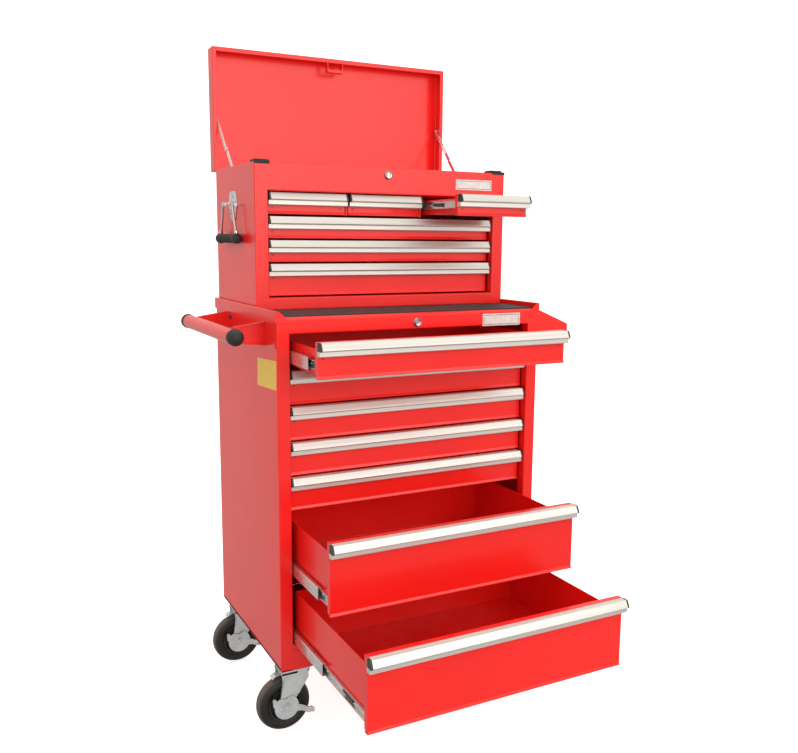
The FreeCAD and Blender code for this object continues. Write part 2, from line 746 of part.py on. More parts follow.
def drawer(name, middle_x, low, height, kind, side_drop, plane, open_by, middle_member=True):
    """A drawer: folded box with its front, handle, and the members of its two slides."""
    front_half = f"{kind}_front_half"
    box_half = f"{kind}_box_half"
    depth = "cab_box_depth" if kind == "cab" else "chest_box_depth"
    face = f"{plane} + front_recess"
    outline = [
        ("0", height), ("0", "lip_height"), ("-lip_flare", "0"), ("front_return", "0"),
        ("front_return", "pan_sheet"), ("1.4 * pan_sheet - lip_flare", "pan_sheet"),
        ("pan_sheet", "lip_height"), ("pan_sheet", f"{height} - pan_sheet"),
        ("front_return", f"{height} - pan_sheet"), ("front_return", height),
    ]
    skin = padded(name + "_front", "YZ", [outline], f"2 * {front_half}", (middle_x, face, low),
                  both_ways=True)
    parts = [skin]
    for end, start in (("left", f"{middle_x} - {front_half}"),
                       ("right", f"{middle_x} + {front_half} - pan_sheet")):
        parts.append(box(f"{name}_front_{end}", (start, f"{face}", f"{low} + lip_height"),
                         ("pan_sheet", "front_return", f"{height} - lip_height")))
    rise = f"{height} - box_floor_rise - {side_drop}"
    outer = box(name + "_pan_outer", (f"{middle_x} - {box_half}", f"{face} + pan_sheet",
                                      f"{low} + box_floor_rise"),
                (f"2 * {box_half}", depth, rise))
    hollow = box(name + "_pan_hollow",
                 (f"{middle_x} - {box_half} + pan_sheet", f"{face} + 2 * pan_sheet",
                  f"{low} + box_floor_rise + pan_sheet"),
                 (f"2 * {box_half} - 2 * pan_sheet", f"{depth} - 2 * pan_sheet", f"{rise}"))
    parts.append(cut(name + "_pan", outer, hollow))
    folded = fuse(name + "_folded", *parts)

    middle_z = f"{low} + slide_rise"
    start_y = f"{face} + slide_setback"
    length = f"{depth} - slide_setback"
    inner_members = []
    floating = []
    for side, sign in (("left", -1), ("right", 1)):
        wall = f"{middle_x} + {sign} * ({box_half} + slide_space)"
        box_side = f"{middle_x} + {sign} * {box_half}"
        OUTER_MEMBERS.append(channel(f"{name}_slide_{side}_outer", wall, -sign, middle_z,
                                     "slide_outer", "slide_outer_depth", start_y, length))
        if middle_member:
            middle_web = f"{wall} - {sign} * slide_middle_inset"
            floating.append(channel(f"{name}_slide_{side}_middle", middle_web, -sign, middle_z,
                                    "slide_middle", "slide_middle_depth", start_y, length))
        inner_members.append(channel(f"{name}_slide_{side}_inner", box_side, sign, middle_z,
                                     "slide_inner", "slide_inner_depth", start_y, length))
    node(name + "_box", folded, *inner_members, forward=open_by)

    grip_outline = [
        ("0", "0"), ("-handle_top", "0"), ("-handle_nose", "-handle_nose_drop"),
        ("handle_nose_cut - handle_nose", "-handle_nose_drop - handle_nose_low"),
        ("-handle_foot", "-handle_nose_drop - handle_chin"),
        ("-handle_foot", "-handle_height"), ("0", "-handle_height"),
    ]
    inner_outline = [
        ("-handle_wall", "-handle_wall"), ("0.56 * handle_wall - handle_top", "-handle_wall"),
        ("1.5 * handle_wall - handle_nose", "-handle_nose_drop"),
        ("handle_wall - handle_foot", "-handle_nose_drop - handle_wall"),
        ("handle_wall - handle_foot", "handle_wall - handle_height"),
        ("-handle_wall", "handle_wall - handle_height"),
    ]
    grip = padded(name + "_grip", "YZ", [grip_outline, inner_outline],
                  f"2 * ({front_half} + handle_extra)", (middle_x, face, f"{low} + {height}"),
                  both_ways=True)
    node(name + "_handle", grip, forward=open_by)
    if middle_member:
        share = SLIDE_SHARES.get(name, 0.5)
        node(name + "_slides", *floating, forward=f"{share} * ({open_by})")


# The floating member of a slide rides out by this share of its drawer's travel.
SLIDE_SHARES = {"cabinet_drawer_1": 0.8, "cabinet_drawer_6": 0.8}


def cabinet_drawers():
    for number in range(1, 8):
        deep = number > 5
        rows_down = number - 1 if number < 7 else 7
        height = "deep_front" if deep else "row_pitch - front_gap"
        low = f"row_top - {rows_down} * row_pitch - ({height})"
        open_by = f"open_cabinet_{number}"
        drawer(f"cabinet_drawer_{number}", "0", low, height, "cab",
               "deep_side_drop" if deep else "cab_side_drop", "0",
               open_by if open_by in DIMS else "0")


def chest_drawers():
    for number in (1, 2, 3):
        height = "chest_row_pitch - small_front_gap"
        open_by = f"open_chest_small_{number}"
        drawer(f"chest_small_drawer_{number}", f"{number - 2} * small_pitch",
               f"chest_row_top - ({height})", height, "small", "chest_side_drop", "chest_front",
               open_by if open_by in DIMS else "0", middle_member=False)
    for number in (1, 2, 3):
        height = "chest_last_front" if number == 3 else "chest_row_pitch - front_gap"
        drawer(f"chest_drawer_{number}", "0",
               f"chest_row_top - {number} * chest_row_pitch - ({height})", height, "chest",
               "chest_last_side_drop" if number == 3 else "chest_side_drop", "chest_front", "0")


# ---------------------------------------------------------------- bails, stays and locks

def rod(name, start, end, radius):
    """A round bar between two points, given as formulas."""
    low = FreeCAD.Vector(*[value(text) for text in start])
    high = FreeCAD.Vector(*[value(text) for text in end])
    piece = doc.addObject("Part::Cylinder", name)
    piece.setExpression("Radius", expression(radius))
    piece.Height = (high - low).Length
    piece.Placement = FreeCAD.Placement(low, FreeCAD.Rotation(FreeCAD.Vector(0, 0, 1), high - low))
    return piece


def knob(name, centre, radius):
    piece = doc.addObject("Part::Sphere", name)
    piece.setExpression("Radius", expression(radius))
    place(piece, centre)
    return piece


def bail(side, label):
    x = f"{side} * (chest_width / 2 + bail_standoff)"
    foot_z = "bail_z - bail_drop"
    route = [
        ("bail_y - bail_plate_half + bail_pin", "bail_z"), ("bail_y - bail_half", "bail_z"),
        ("bail_y - bail_foot", foot_z), ("bail_y + bail_foot", foot_z),
        ("bail_y + bail_half", "bail_z"), ("bail_y + bail_plate_half - bail_pin", "bail_z"),
    ]
    corners = [(x, y, z) for y, z in route]
    pieces = []
    for number, (start, end) in enumerate(zip(corners, corners[1:]), start=1):
        pieces.append(rod(f"{label}_run_{number}", start, end, "bail_wire"))
    for number, corner in enumerate(corners[1:-1], start=1):
        pieces.append(knob(f"{label}_bend_{number}", corner, "bail_wire"))
    wire = fuse(label + "_wire", *pieces)
    block = cylinder(label + "_grip_block", (x, "bail_y - bail_grip_length / 2", foot_z), "y",
                     "bail_grip", "bail_grip_length")
    rounded = doc.addObject("Part::Fillet", label + "_grip_round")
    rounded.Base = block
    doc.recompute()
    rims = [number for number, edge in enumerate(block.Shape.Edges, start=1)
            if isinstance(edge.Curve, Part.Circle)]
    radius = value("bail_grip * bail_grip_round")
    rounded.Edges = [(number, radius, radius) for number in rims]
    node(label, wire, cut(label + "_grip", rounded, wire))


def stay_joint():
    """The stay's three pivots with the lid open, as (y, z) numbers: chest, elbow and lid."""
    chest = (value("chest_front + stay_chest_y"), value("chest_top - stay_chest_drop"))
    lid_pivot = (value(f"{hinge_y()} + stay_lid_y"), value(f"{hinge_z()} + stay_lid_rise"))
    reach = math.hypot(lid_pivot[0] - chest[0], lid_pivot[1] - chest[1])
    rise = math.atan2(lid_pivot[1] - chest[1], lid_pivot[0] - chest[0])
    bar = value("stay_bar")
    bend = math.acos(min(1.0, reach / 2 / bar))
    elbow = (chest[0] + bar * math.cos(rise - bend), chest[1] + bar * math.sin(rise - bend))
    return chest, elbow, lid_pivot


def stay_bar(name, start, end, plane):
    """A flat bar with rounded ends between two pivots, in a plane of constant X."""
    length = math.hypot(end[0] - start[0], end[1] - start[1])
    tilt = math.degrees(math.atan2(end[1] - start[1], end[0] - start[0]))
    wall = value("stay_wall")
    radius = value("stay_width") / 2
    flat = Part.makeBox(wall, length, 2 * radius, FreeCAD.Vector(plane, 0, -radius))
    for along in (0, length):
        flat = flat.fuse(Part.makeCylinder(radius, wall, FreeCAD.Vector(plane, along, 0), X_AXIS))
    panel = value("chest_width / 2 - sheet - pin_gap")
    boss = Part.makeCylinder(value("stay_boss"), panel - plane, FreeCAD.Vector(plane, 0, 0), X_AXIS)
    flat = flat.fuse(boss)
    piece = doc.addObject("Part::Feature", name)
    piece.Shape = flat.removeSplitter()
    piece.Placement = FreeCAD.Placement(
        FreeCAD.Vector(0, start[0], start[1]), FreeCAD.Rotation(X_AXIS, tilt))
    return piece


def lid_stays():
    chest, elbow, lid_pivot = stay_joint()
    inner = value("stay_x")
    outer = value("stay_x + stay_wall + stay_gap")
    lower = [stay_bar("stay_lower_right", chest, elbow, inner)]
    lower.append(mirrored("stay_lower_left", lower[0]))
    upper = [stay_bar("stay_upper_right", lid_pivot, elbow, outer)]
    upper.append(mirrored("stay_upper_left", upper[0]))
    node("lid_stay_lower_bars", *lower)
    node("lid_stay_upper_bars", *upper)


def lock_plug(label, front, height):
    """A turning plug with a tubular-key groove and a cam on its rear end."""
    plug = cylinder(label + "_barrel", ("0", f"{front} - plug_proud", height), "y", "lock_barrel",
                    "plug_length")
    groove_start = ("0", f"{front} - plug_proud - spare", height)
    groove_outer = cylinder(label + "_groove_outer", groove_start, "y", "groove_outer",
                            "groove_depth + spare")
    groove_inner = cylinder(label + "_groove_inner", groove_start, "y", "groove_inner",
                            "groove_depth + spare")
    groove = cut(label + "_groove", groove_outer, groove_inner)
    cam = box(label + "_cam", ("-cam_half", f"{front} + cam_setback", f"{height} - cam_drop"),
              ("2 * cam_half", "cam_wall", "cam_drop"))
    solid = fuse(label + "_solid", plug, cam)
    node(label, cut(label + "_plug", solid, groove))


# ---------------------------------------------------------------- casters

def fork_leg(name, axle_x, top_x, face_y):
    """One side plate of a fork, in the XZ plane, from its top down to a round foot."""
    outline = [
        (f"{top_x} - fork_half", "fork_top"), (f"{top_x} + fork_half", "fork_top"),
        (f"{top_x} + fork_half - fork_taper", "fork_top - fork_shoulder"),
        (f"{axle_x} + fork_foot", "wheel_radius + fork_knee"),
        (f"{axle_x} + fork_foot * 0.6", "wheel_radius - fork_foot * 0.8"),
        (f"{axle_x} - fork_foot * 0.6", "wheel_radius - fork_foot * 0.8"),
        (f"{axle_x} - fork_foot", "wheel_radius + fork_knee"),
    ]
    return padded(name, "XZ", [outline], "fork_wall", ("0", f"{face_y} + fork_wall", "0"))


def fork(name, king_x, king_y, trail):
    """Top plate and two legs, with the wheel's axle bolt through them."""
    axle_x = f"{king_x} - {trail}"
    top_x = f"{king_x} - ({trail}) / 3"
    plate = box(name + "_top", (f"{top_x} - fork_half", f"{king_y} - fork_gap / 2 - fork_wall",
                                "fork_top - fork_wall"),
                ("2 * fork_half", "fork_gap + 2 * fork_wall", "fork_wall"))
    legs = [fork_leg(name + "_leg_near", axle_x, top_x, f"{king_y} - fork_gap / 2 - fork_wall"),
            fork_leg(name + "_leg_far", axle_x, top_x, f"{king_y} + fork_gap / 2")]
    axle = cylinder(name + "_axle", (axle_x, f"{king_y} - fork_gap / 2 - axle_near", "wheel_radius"),
                    "y", "axle_radius", "fork_gap + axle_near + axle_far")
    head = cylinder(name + "_axle_head", (axle_x, f"{king_y} + fork_gap / 2 + fork_wall",
                                          "wheel_radius"), "y", "axle_head_radius", "axle_head")
    return plate, legs, axle, head


def swivel_fork(label, king_y):
    king_x = "-caster_x"
    plate, legs, axle, head = fork(label, king_x, king_y, "caster_trail")
    race = cylinder(label + "_race", (king_x, king_y, "fork_top"), "z", "race_radius - fork_race_inset",
                    "fork_race")
    shoe = box(label + "_shoe", (f"{king_x} - caster_trail - shoe_front",
                                 f"{king_y} - shoe_half", "2 * wheel_radius + shoe_gap"),
               ("shoe_length", "2 * shoe_half", "shoe_wall"))
    shoe_arm = box(label + "_shoe_arm", (f"{king_x} - caster_trail - shoe_arm_front",
                                         f"{king_y} - fork_gap / 2 - fork_wall",
                                         "2 * wheel_radius + shoe_gap"),
                   ("shoe_arm", "fork_gap + 2 * fork_wall", "shoe_wall"))
    whole = fuse(label + "_whole", plate, *legs, axle, head, race, shoe, shoe_arm)
    bore = cylinder(label + "_bore", (king_x, king_y, "fork_top - kingpin_drop - spare"),
                    "z", "kingpin_radius + kingpin_gap", "2 * (kingpin_drop + spare)")
    node(label, cut(label + "_fork", whole, bore))


def caster_mounts():
    pieces = []
    for side, sign in (("left", -1), ("right", 1)):
        for end in ("front", "rear"):
            king_x = f"{sign} * caster_x"
            king_y = f"caster_{end}"
            name = f"caster_{end}_{side}"
            parts = [box(name + "_plate", (f"{king_x} - plate_half_x", f"{king_y} - plate_half_y",
                                           "cab_base - plate_wall"),
                         ("2 * plate_half_x", "2 * plate_half_y", "plate_wall"))]
            for turn_x in (-1, 1):
                for turn_y in (-1, 1):
                    corner = "front" if turn_y < 0 else "rear"
                    hand = "a" if turn_x < 0 else "b"
                    parts.append(cylinder(
                        f"{name}_bolt_{corner}_{hand}",
                        (f"{king_x} + {turn_x} * (plate_half_x - plate_bolt_x)",
                         f"{king_y} + {turn_y} * (plate_half_y - plate_bolt_y)",
                         "cab_base - plate_wall - plate_bolt_height"), "z", "plate_bolt_radius",
                        "plate_bolt_height"))
            if side == "left":
                parts.append(cone(name + "_race", (king_x, king_y, "race_low"), "z",
                                  "race_radius", "race_radius - race_taper",
                                  "cab_base - plate_wall - race_low"))
                parts.append(cylinder(name + "_kingpin", (king_x, king_y, "fork_top - kingpin_drop"),
                                      "z", "kingpin_radius",
                                      "cab_base - plate_wall - fork_top + kingpin_drop"))
            else:
                plate, legs, axle, head = fork(name, king_x, king_y, "0")
                riser = box(name + "_riser", (f"{king_x} - riser_half_x", f"{king_y} - riser_half_y",
                                                "fork_top"),
                            ("2 * riser_half_x", "2 * riser_half_y",
                             "cab_base - plate_wall - fork_top"))
                parts += [plate, *legs, axle, head, riser]
            pieces.append(fuse(name + "_whole", *parts))
    node("caster_mounts", *pieces)


def wheel(label, x, y):
    """A rubber tyre on a pressed hub; both turn together on the axle bolt."""
    side = "wheel_width / 2"
    tyre_half = [
        ("hub_radius", f"{side} - tyre_chamfer"), ("wheel_radius - tyre_side", side),
        ("wheel_radius - tyre_shoulder", f"{side} - tyre_shoulder"),
        ("wheel_radius", f"{side} - tyre_crown"),
    ]
    hub_half = [
        ("axle_radius + bearing_gap", f"{side} + hub_proud"), ("hub_boss", f"{side} + hub_proud"),
        ("hub_boss_foot", "hub_web_boss"), ("hub_web", "hub_web_rim"),
        ("hub_rim", f"{side} - hub_rim_inset"), ("hub_radius", f"{side} - tyre_chamfer"),
    ]
    tyre_outline, hub_outline = [
        [(reach, f"-({along})") for reach, along in half] + half[::-1]
        for half in (tyre_half, hub_half)
    ]
    tyre = revolved(label + "_tyre", [tyre_outline], (x, y, "wheel_radius"))
    hub = revolved(label + "_hub", [hub_outline], (x, y, "wheel_radius"))
    node(label, tyre, hub)


def brake_rocker(label, king_y):
    """The side-lock pedal: a round plate on the axle with a foot tab."""
    axle_x = "-caster_x - caster_trail"
    near = f"{king_y} - fork_gap / 2 - fork_wall - rocker_gap - rocker_wall"
    disc = cylinder(label + "_disc", (axle_x, near, "wheel_radius"), "y", "rocker_radius",
                    "rocker_wall")
    arm = box(label + "_arm", (axle_x, near, "wheel_radius - pedal_arm_low"),
              ("pedal_reach - pedal_arm_end", "rocker_wall", "pedal_arm_height"))
    tab = box(label + "_tab", (f"{axle_x} + pedal_reach - pedal_tab", f"{near} - pedal_tab_reach",
                               "wheel_radius - pedal_arm_end"),
              ("pedal_tab", "pedal_tab_reach + rocker_wall", "rocker_wall"))
    hook = box(label + "_hook", (f"{axle_x} - rocker_radius - hook_reach", near,
                                 "wheel_radius + hook_reach"),
               ("hook_width", "rocker_wall", "hook_height"))
    riser = box(label + "_riser", (f"{axle_x} + pedal_reach - pedal_tab_reach", near,
                                   "wheel_radius - pedal_arm_end"),
                ("pedal_riser_wall", "rocker_wall", "pedal_riser_height"))
    whole = fuse(label + "_whole", disc, arm, tab, hook, riser)
    bore = cylinder(label + "_bore", (axle_x, f"{near} - spare", "wheel_radius"), "y",
                    "axle_radius + bearing_gap", "rocker_wall + 2 * spare")
    node(label, cut(label + "_rocker", whole, bore))


def casters():
    caster_mounts()
    for end in ("front", "rear"):
        king_y = f"caster_{end}"
        swivel_fork(f"swivel_fork_{end}", king_y)
        brake_rocker(f"brake_pedal_{end}", king_y)
        wheel(f"wheel_{end}_left", "-caster_x - caster_trail", king_y)
        wheel(f"wheel_{end}_right", "caster_x", king_y)


# ---------------------------------------------------------------- assembly

cabinet_frame()
cabinet_worktop()
chest_body()
chest_fittings()
lid()
rubber_parts()
push_handle()
side_tray()
cabinet_drawers()
chest_drawers()
node("slide_outer_members", *OUTER_MEMBERS)
bail(-1, "bail_handle_left")
bail(1, "bail_handle_right")
lid_stays()
lock_plug("lock_plug_chest", "chest_front", "lock_z_chest")
lock_plug("lock_plug_cabinet", "0", "lock_z_cabinet")
casters()
doc.recompute()

whole_box = FreeCAD.BoundBox()
for piece, forward in NODES:
    shut = piece.Shape.optimalBoundingBox(False, False)
    shut.move(FreeCAD.Vector(0, -value(forward), 0))
    whole_box.add(shut)
origin = FreeCAD.Vector(whole_box.Center.x, whole_box.Center.y, whole_box.ZMin)
for piece, forward in NODES:
    piece.Placement = FreeCAD.Placement(
        FreeCAD.Vector(-origin.x, -origin.y - value(forward), -origin.z), FreeCAD.Rotation())
doc.recompute()
print("origin of the frame, in cabinet coordinates:", origin)

for thing in doc.Objects:
    bad = [state for state in thing.State if state in ("Invalid", "Error")]
    if bad:
        raise RuntimeError(f"{thing.Name} is {bad}")
for piece, forward in NODES:
    if piece.Shape.isNull() or not piece.Shape.isValid() or not piece.Shape.Solids:
        raise RuntimeError(f"{piece.Label} has no valid solid")

os.makedirs("parts", exist_ok=True)
for piece, forward in NODES:
    piece.Shape.exportStep(f"parts/{piece.Label}.step")
print(len(NODES), "nodes written")
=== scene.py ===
"""A rolling tool chest: the looks of a lidded top chest on a roller cabinet, built round the CAD frame.

Lengths are in millimetres while a piece is drawn, in the cabinet's own axes: x = 0 is the middle of the
cabinet, y = 0 the plane of its front posts (+y goes to the back) and z = 0 the floor.  at() turns such
a point into the frame's metres.
"""
import math

import bmesh
import bpy
from mathutils import Matrix, Vector
from mathutils.geometry import tessellate_polygon


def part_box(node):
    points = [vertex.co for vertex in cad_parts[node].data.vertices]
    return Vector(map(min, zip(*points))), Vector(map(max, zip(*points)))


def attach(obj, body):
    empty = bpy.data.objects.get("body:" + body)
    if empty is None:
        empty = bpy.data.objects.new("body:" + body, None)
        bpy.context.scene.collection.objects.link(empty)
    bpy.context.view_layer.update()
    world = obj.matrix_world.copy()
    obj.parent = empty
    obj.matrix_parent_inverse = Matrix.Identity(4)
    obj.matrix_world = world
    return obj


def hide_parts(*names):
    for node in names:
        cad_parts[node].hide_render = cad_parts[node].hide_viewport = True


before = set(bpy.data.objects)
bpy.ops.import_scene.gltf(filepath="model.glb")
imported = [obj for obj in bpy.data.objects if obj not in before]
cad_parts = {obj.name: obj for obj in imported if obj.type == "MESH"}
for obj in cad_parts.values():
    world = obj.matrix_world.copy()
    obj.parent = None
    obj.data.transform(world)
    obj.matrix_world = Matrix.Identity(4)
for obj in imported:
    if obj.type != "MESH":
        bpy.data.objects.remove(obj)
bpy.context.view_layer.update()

MM = 0.001
shell_low, shell_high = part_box("cabinet_frame")
MID_X = (shell_low.x + shell_high.x) / 2
FRONT_Y = shell_low.y


def at(x, y, z):
    """A point in the cabinet's millimetres, as a point of the frame in metres."""
    return Vector((MID_X + x * MM, FRONT_Y + y * MM, z * MM))


def node_box(node):
    """The lowest and highest corner of a CAD node, in the cabinet's millimetres."""
    low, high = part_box(node)
    return [Vector(((p.x - MID_X) / MM, (p.y - FRONT_Y) / MM, p.z / MM)) for p in (low, high)]


# ---------------------------------------------------------------- shapes

PLACED = {
    "x": lambda u, v, w: (w, u, v),
    "y": lambda u, v, w: (u, w, v),
    "z": lambda u, v, w: (u, v, w),
}


class Shape:
    """The points and faces of one piece while it is drawn."""

    def __init__(self):
        self.points = []
        self.faces = []

    def add(self, points, faces):
        first = len(self.points)
        self.points += [tuple(p) for p in points]
        self.faces += [[first + i for i in face] for face in faces]

    def both_sides(self):
        """Adds the mirror image on the other side of x = 0."""
        self.add([(-x, y, z) for x, y, z in self.points], [face[::-1] for face in self.faces])
        return self


def rounded(points, radius, closed=True, steps=4):
    """A line's corners replaced by arcs.  radius is one number, or one for each corner."""
    points = [Vector(p) for p in points]
    count = len(points)
    radii = [radius] * count if isinstance(radius, (int, float)) else radius
    result = []
    for i, point in enumerate(points):
        ends = not closed and i in (0, count - 1)
        if ends or radii[i] <= 0:
            result.append(point)
            continue
        back = points[i - 1] - point
        ahead = points[(i + 1) % count] - point
        half = back.angle(ahead) / 2
        if half > math.radians(89):
            result.append(point)
            continue
        reach = min(radii[i] / math.tan(half), 0.48 * back.length, 0.48 * ahead.length)
        arc = reach * math.tan(half)
        start = point + back.normalized() * reach
        end = point + ahead.normalized() * reach
        centre = point + (back.normalized() + ahead.normalized()).normalized() * (arc / math.sin(half))
        first = (start - centre).normalized()
        last = end - centre
        across = (last - first * last.dot(first)).normalized()
        turn = math.pi - 2 * half
        for step in range(steps + 1):
            angle = turn * step / steps
            result.append(centre + (first * math.cos(angle) + across * math.sin(angle)) * arc)
    return result


def offset(path, distance):
    """An open flat line moved sideways, to the left of its direction if distance is positive."""
    path = [Vector(p) for p in path]
    normals = []
    for start, end in zip(path, path[1:]):
        way = (end - start).normalized()
        normals.append(Vector((-way.y, way.x)))
    moved = []
    for i, point in enumerate(path):
        one = normals[max(i - 1, 0)]
        two = normals[min(i, len(normals) - 1)]
        moved.append(point + (one + two) * (distance / (1 + one.dot(two))))
    return moved


def rectangle(left, low, right, high):
    return [(left, low), (right, low), (right, high), (left, high)]


def prism(shape, outline, axis, start, end, holes=()):
    """A flat outline, with any holes, given a thickness along an axis."""
    place = PLACED[axis]
    rings = [list(outline)] + [list(hole) for hole in holes]
    flat = [p for ring in rings for p in ring]
    count = len(flat)
    points = [place(p[0], p[1], w) for w in (start, end) for p in flat]
    if holes:
        lines = [[Vector((p[0], p[1], 0)) for p in ring] for ring in rings]
        faces = [list(face) for face in tessellate_polygon(lines)]
        faces += [[i + count for i in reversed(face)] for face in faces]
    else:
        faces = [list(range(count)), [i + count for i in reversed(range(count))]]
    first = 0
    for ring in rings:
        size = len(ring)
        for i in range(size):
            j = (i + 1) % size
            faces.append([first + i, first + j, first + j + count, first + i + count])
        first += size
    shape.add(points, faces)


def block(shape, low, high):
    prism(shape, rectangle(low[0], low[1], high[0], high[1]), "z", low[2], high[2])


def folded(shape, path, thickness, bend, axis, start, end, steps=5):
    """Sheet folded along a path.  The path is its outer face; thickness goes to the path's left."""
    outer = rounded(path, bend, closed=False, steps=steps)
    prism(shape, outer + offset(outer, thickness)[::-1], axis, start, end)


def bridged(shape, rings, capped=True):
    """A skin over rings of equally many points."""
    count = len(rings[0])
    faces = []
    for level in range(len(rings) - 1):
        for i in range(count):
            j = (i + 1) % count
            low = level * count
            faces.append([low + i, low + j, low + count + j, low + count + i])
    if capped:
        faces.append(list(range(count))[::-1])
        faces.append([(len(rings) - 1) * count + i for i in range(count)])
    shape.add([p for ring in rings for p in ring], faces)


def circle(centre, radius, sides=24, start=0.0):
    """A ring of points on a flat circle."""
    angles = [start + 2 * math.pi * i / sides for i in range(sides)]
    return [(centre[0] + radius * math.cos(a), centre[1] + radius * math.sin(a)) for a in angles]


def slot_hole(centre, length, height, sides=12):
    """A hole with round ends, longer along its first direction."""
    reach = (length - height) / 2
    ring = []
    for i in range(sides):
        angle = 2 * math.pi * (i + 0.5) / sides
        shift = reach if math.cos(angle) > 0 else -reach
        ring.append((centre[0] + shift + height / 2 * math.cos(angle),
                     centre[1] + height / 2 * math.sin(angle)))
    return ring


def spun(profile, centre, axis, sides):
    """A ring about an axis through centre for each (radius, along) pair."""
    rings = []
    for radius, along in profile:
        ring = []
        for u, v in circle((0, 0), radius, sides):
            x, y, z = PLACED[axis](u, v, along)
            ring.append((centre[0] + x, centre[1] + y, centre[2] + z))
        rings.append(ring)
    return rings


def turned(shape, profile, centre, axis, sides=40):
    """A solid turned part, closed at both ends of its profile."""
    bridged(shape, spun([(max(radius, 0.01), along) for radius, along in profile], centre, axis, sides))


def hollow_turned(shape, profile, centre, axis, sides=40):
    """A turned part whose profile is a closed outline, such as a tyre or a washer."""
    bridged(shape, spun(list(profile) + [profile[0]], centre, axis, sides), capped=False)


def rod(shape, path, radius, sides=14):
    """A round bar along a line of points in space.  radius is a number, or one for each point."""
    path = [Vector(p) for p in path]
    radii = [radius] * len(path) if isinstance(radius, (int, float)) else radius
    way = (path[1] - path[0]).normalized()
    side = way.orthogonal().normalized()
    rings = []
    for i, point in enumerate(path):
        before = path[max(i - 1, 0)]
        after = path[min(i + 1, len(path) - 1)]
        ahead = (after - before).normalized()
        side = (side - ahead * side.dot(ahead)).normalized()
        up = ahead.cross(side)
        ring = []
        for u, v in circle((0, 0), radii[i], sides):
            ring.append(tuple(point + side * u + up * v))
        rings.append(ring)
    bridged(shape, rings)


def vessel(shape, low, high, profile, to, corner, steps=4):
    """A tray: (inset, height) pairs swept round a rectangle with rounded corners."""
    rings = []
    for inset, height in profile:
        radius = max(corner - inset, 0.2)
        outline = rectangle(low[0] + inset, low[1] + inset, high[0] - inset, high[1] - inset)
        rings.append([to(p[0], p[1], height) for p in rounded(outline, radius, steps=steps)])
    bridged(shape, rings)


def fold_arc(reach, bend):
    """The section of a fold from a floor up to a wall; reach is its distance from the corner."""
    quarter = [i * math.pi / 8 for i in range(5)]
    return [(reach - bend * math.sin(a), reach - bend * math.cos(a)) for a in quarter]


def wall_profile(sheet, bend, rim, hem, hem_drop=8.0):
    """The section of a folded tray's wall, from its inner floor over its hem to its outer floor."""
    outside = sheet + bend
    full = sheet + hem
    top = [(sheet, rim - hem_drop), (full, rim - hem_drop + 0.4), (full, rim - 0.6), (full * 0.75, rim),
           (full * 0.3, rim), (0, rim - 0.6)]
    return fold_arc(outside, bend) + top + [(v, u) for u, v in fold_arc(outside, outside)]


# ---------------------------------------------------------------- materials

class Finish:
    """A procedural material round one Principled shader."""

    def __init__(self, name, **constants):
        self.material = bpy.data.materials.new(name)
        self.material.use_nodes = True
        self.tree = self.material.node_tree
        self.shader = self.tree.nodes["Principled BSDF"]
        for socket, number in constants.items():
            self.shader.inputs[socket.replace("_", " ")].default_value = number
        self.place = self.tree.nodes.new("ShaderNodeTexCoord").outputs["Object"]

    def node(self, kind, links=None, **settings):
        made = self.tree.nodes.new("ShaderNode" + kind)
        for key, setting in settings.items():
            setattr(made, key, setting)
        for socket, source in (links or {}).items():
            if isinstance(source, bpy.types.NodeSocket):
                self.tree.links.new(source, made.inputs[socket])
            else:
                made.inputs[socket].default_value = source
        return made

    def stretched(self, scale):
        return self.node("Mapping", {"Vector": self.place, "Scale": scale}).outputs["Vector"]

    def noise(self, scale, detail=3.0, stretch=None, roughness=0.55):
        where = self.stretched(stretch) if stretch else self.place
        made = self.node("TexNoise", {"Vector": where, "Scale": scale, "Detail": detail,
                                      "Roughness": roughness})
        return made.outputs["Fac"]

    def ranged(self, source, low, high, out_low, out_high):
        made = self.node("MapRange", {"Value": source, "From Min": low, "From Max": high,
                                      "To Min": out_low, "To Max": out_high})
        return made.outputs["Result"]

    def mixed(self, share, one, two):
        made = self.node("Mix", data_type="RGBA")
        for index, source in ((0, share), (6, one), (7, two)):
            if isinstance(source, bpy.types.NodeSocket):
                self.tree.links.new(source, made.inputs[index])
            elif index:
                made.inputs[index].default_value = (*source, 1)
            else:
                made.inputs[index].default_value = source
        return made.outputs[2]

    def product(self, one, two):
        return self.node("Math", {0: one, 1: two}, operation="MULTIPLY").outputs[0]

    def edges(self, radius, low=0.03, high=0.3):
        """0 on flat faces and 1 on sharp edges."""
        soft = self.node("Bevel", {"Radius": radius}, samples=4).outputs["Normal"]
        plain = self.node("NewGeometry").outputs["Normal"]
        same = self.node("VectorMath", {0: soft, 1: plain}, operation="DOT_PRODUCT").outputs["Value"]
        return self.ranged(same, 1 - low, 1 - high, 0.0, 1.0)

    def upward(self, low=0.55, high=0.95):
        """1 on faces that look up, where dust settles."""
        normal = self.node("NewGeometry").outputs["Normal"]
        parts = self.node("SeparateXYZ", {0: normal})
        return self.ranged(parts.outputs["Z"], low, high, 0.0, 1.0)

    def bump(self, height, strength, distance):
        made = self.node("Bump", {"Height": height, "Strength": strength, "Distance": distance})
        self.tree.links.new(made.outputs["Normal"], self.shader.inputs["Normal"])

    def set(self, socket, source):
        self.tree.links.new(source, self.shader.inputs[socket])
        return self


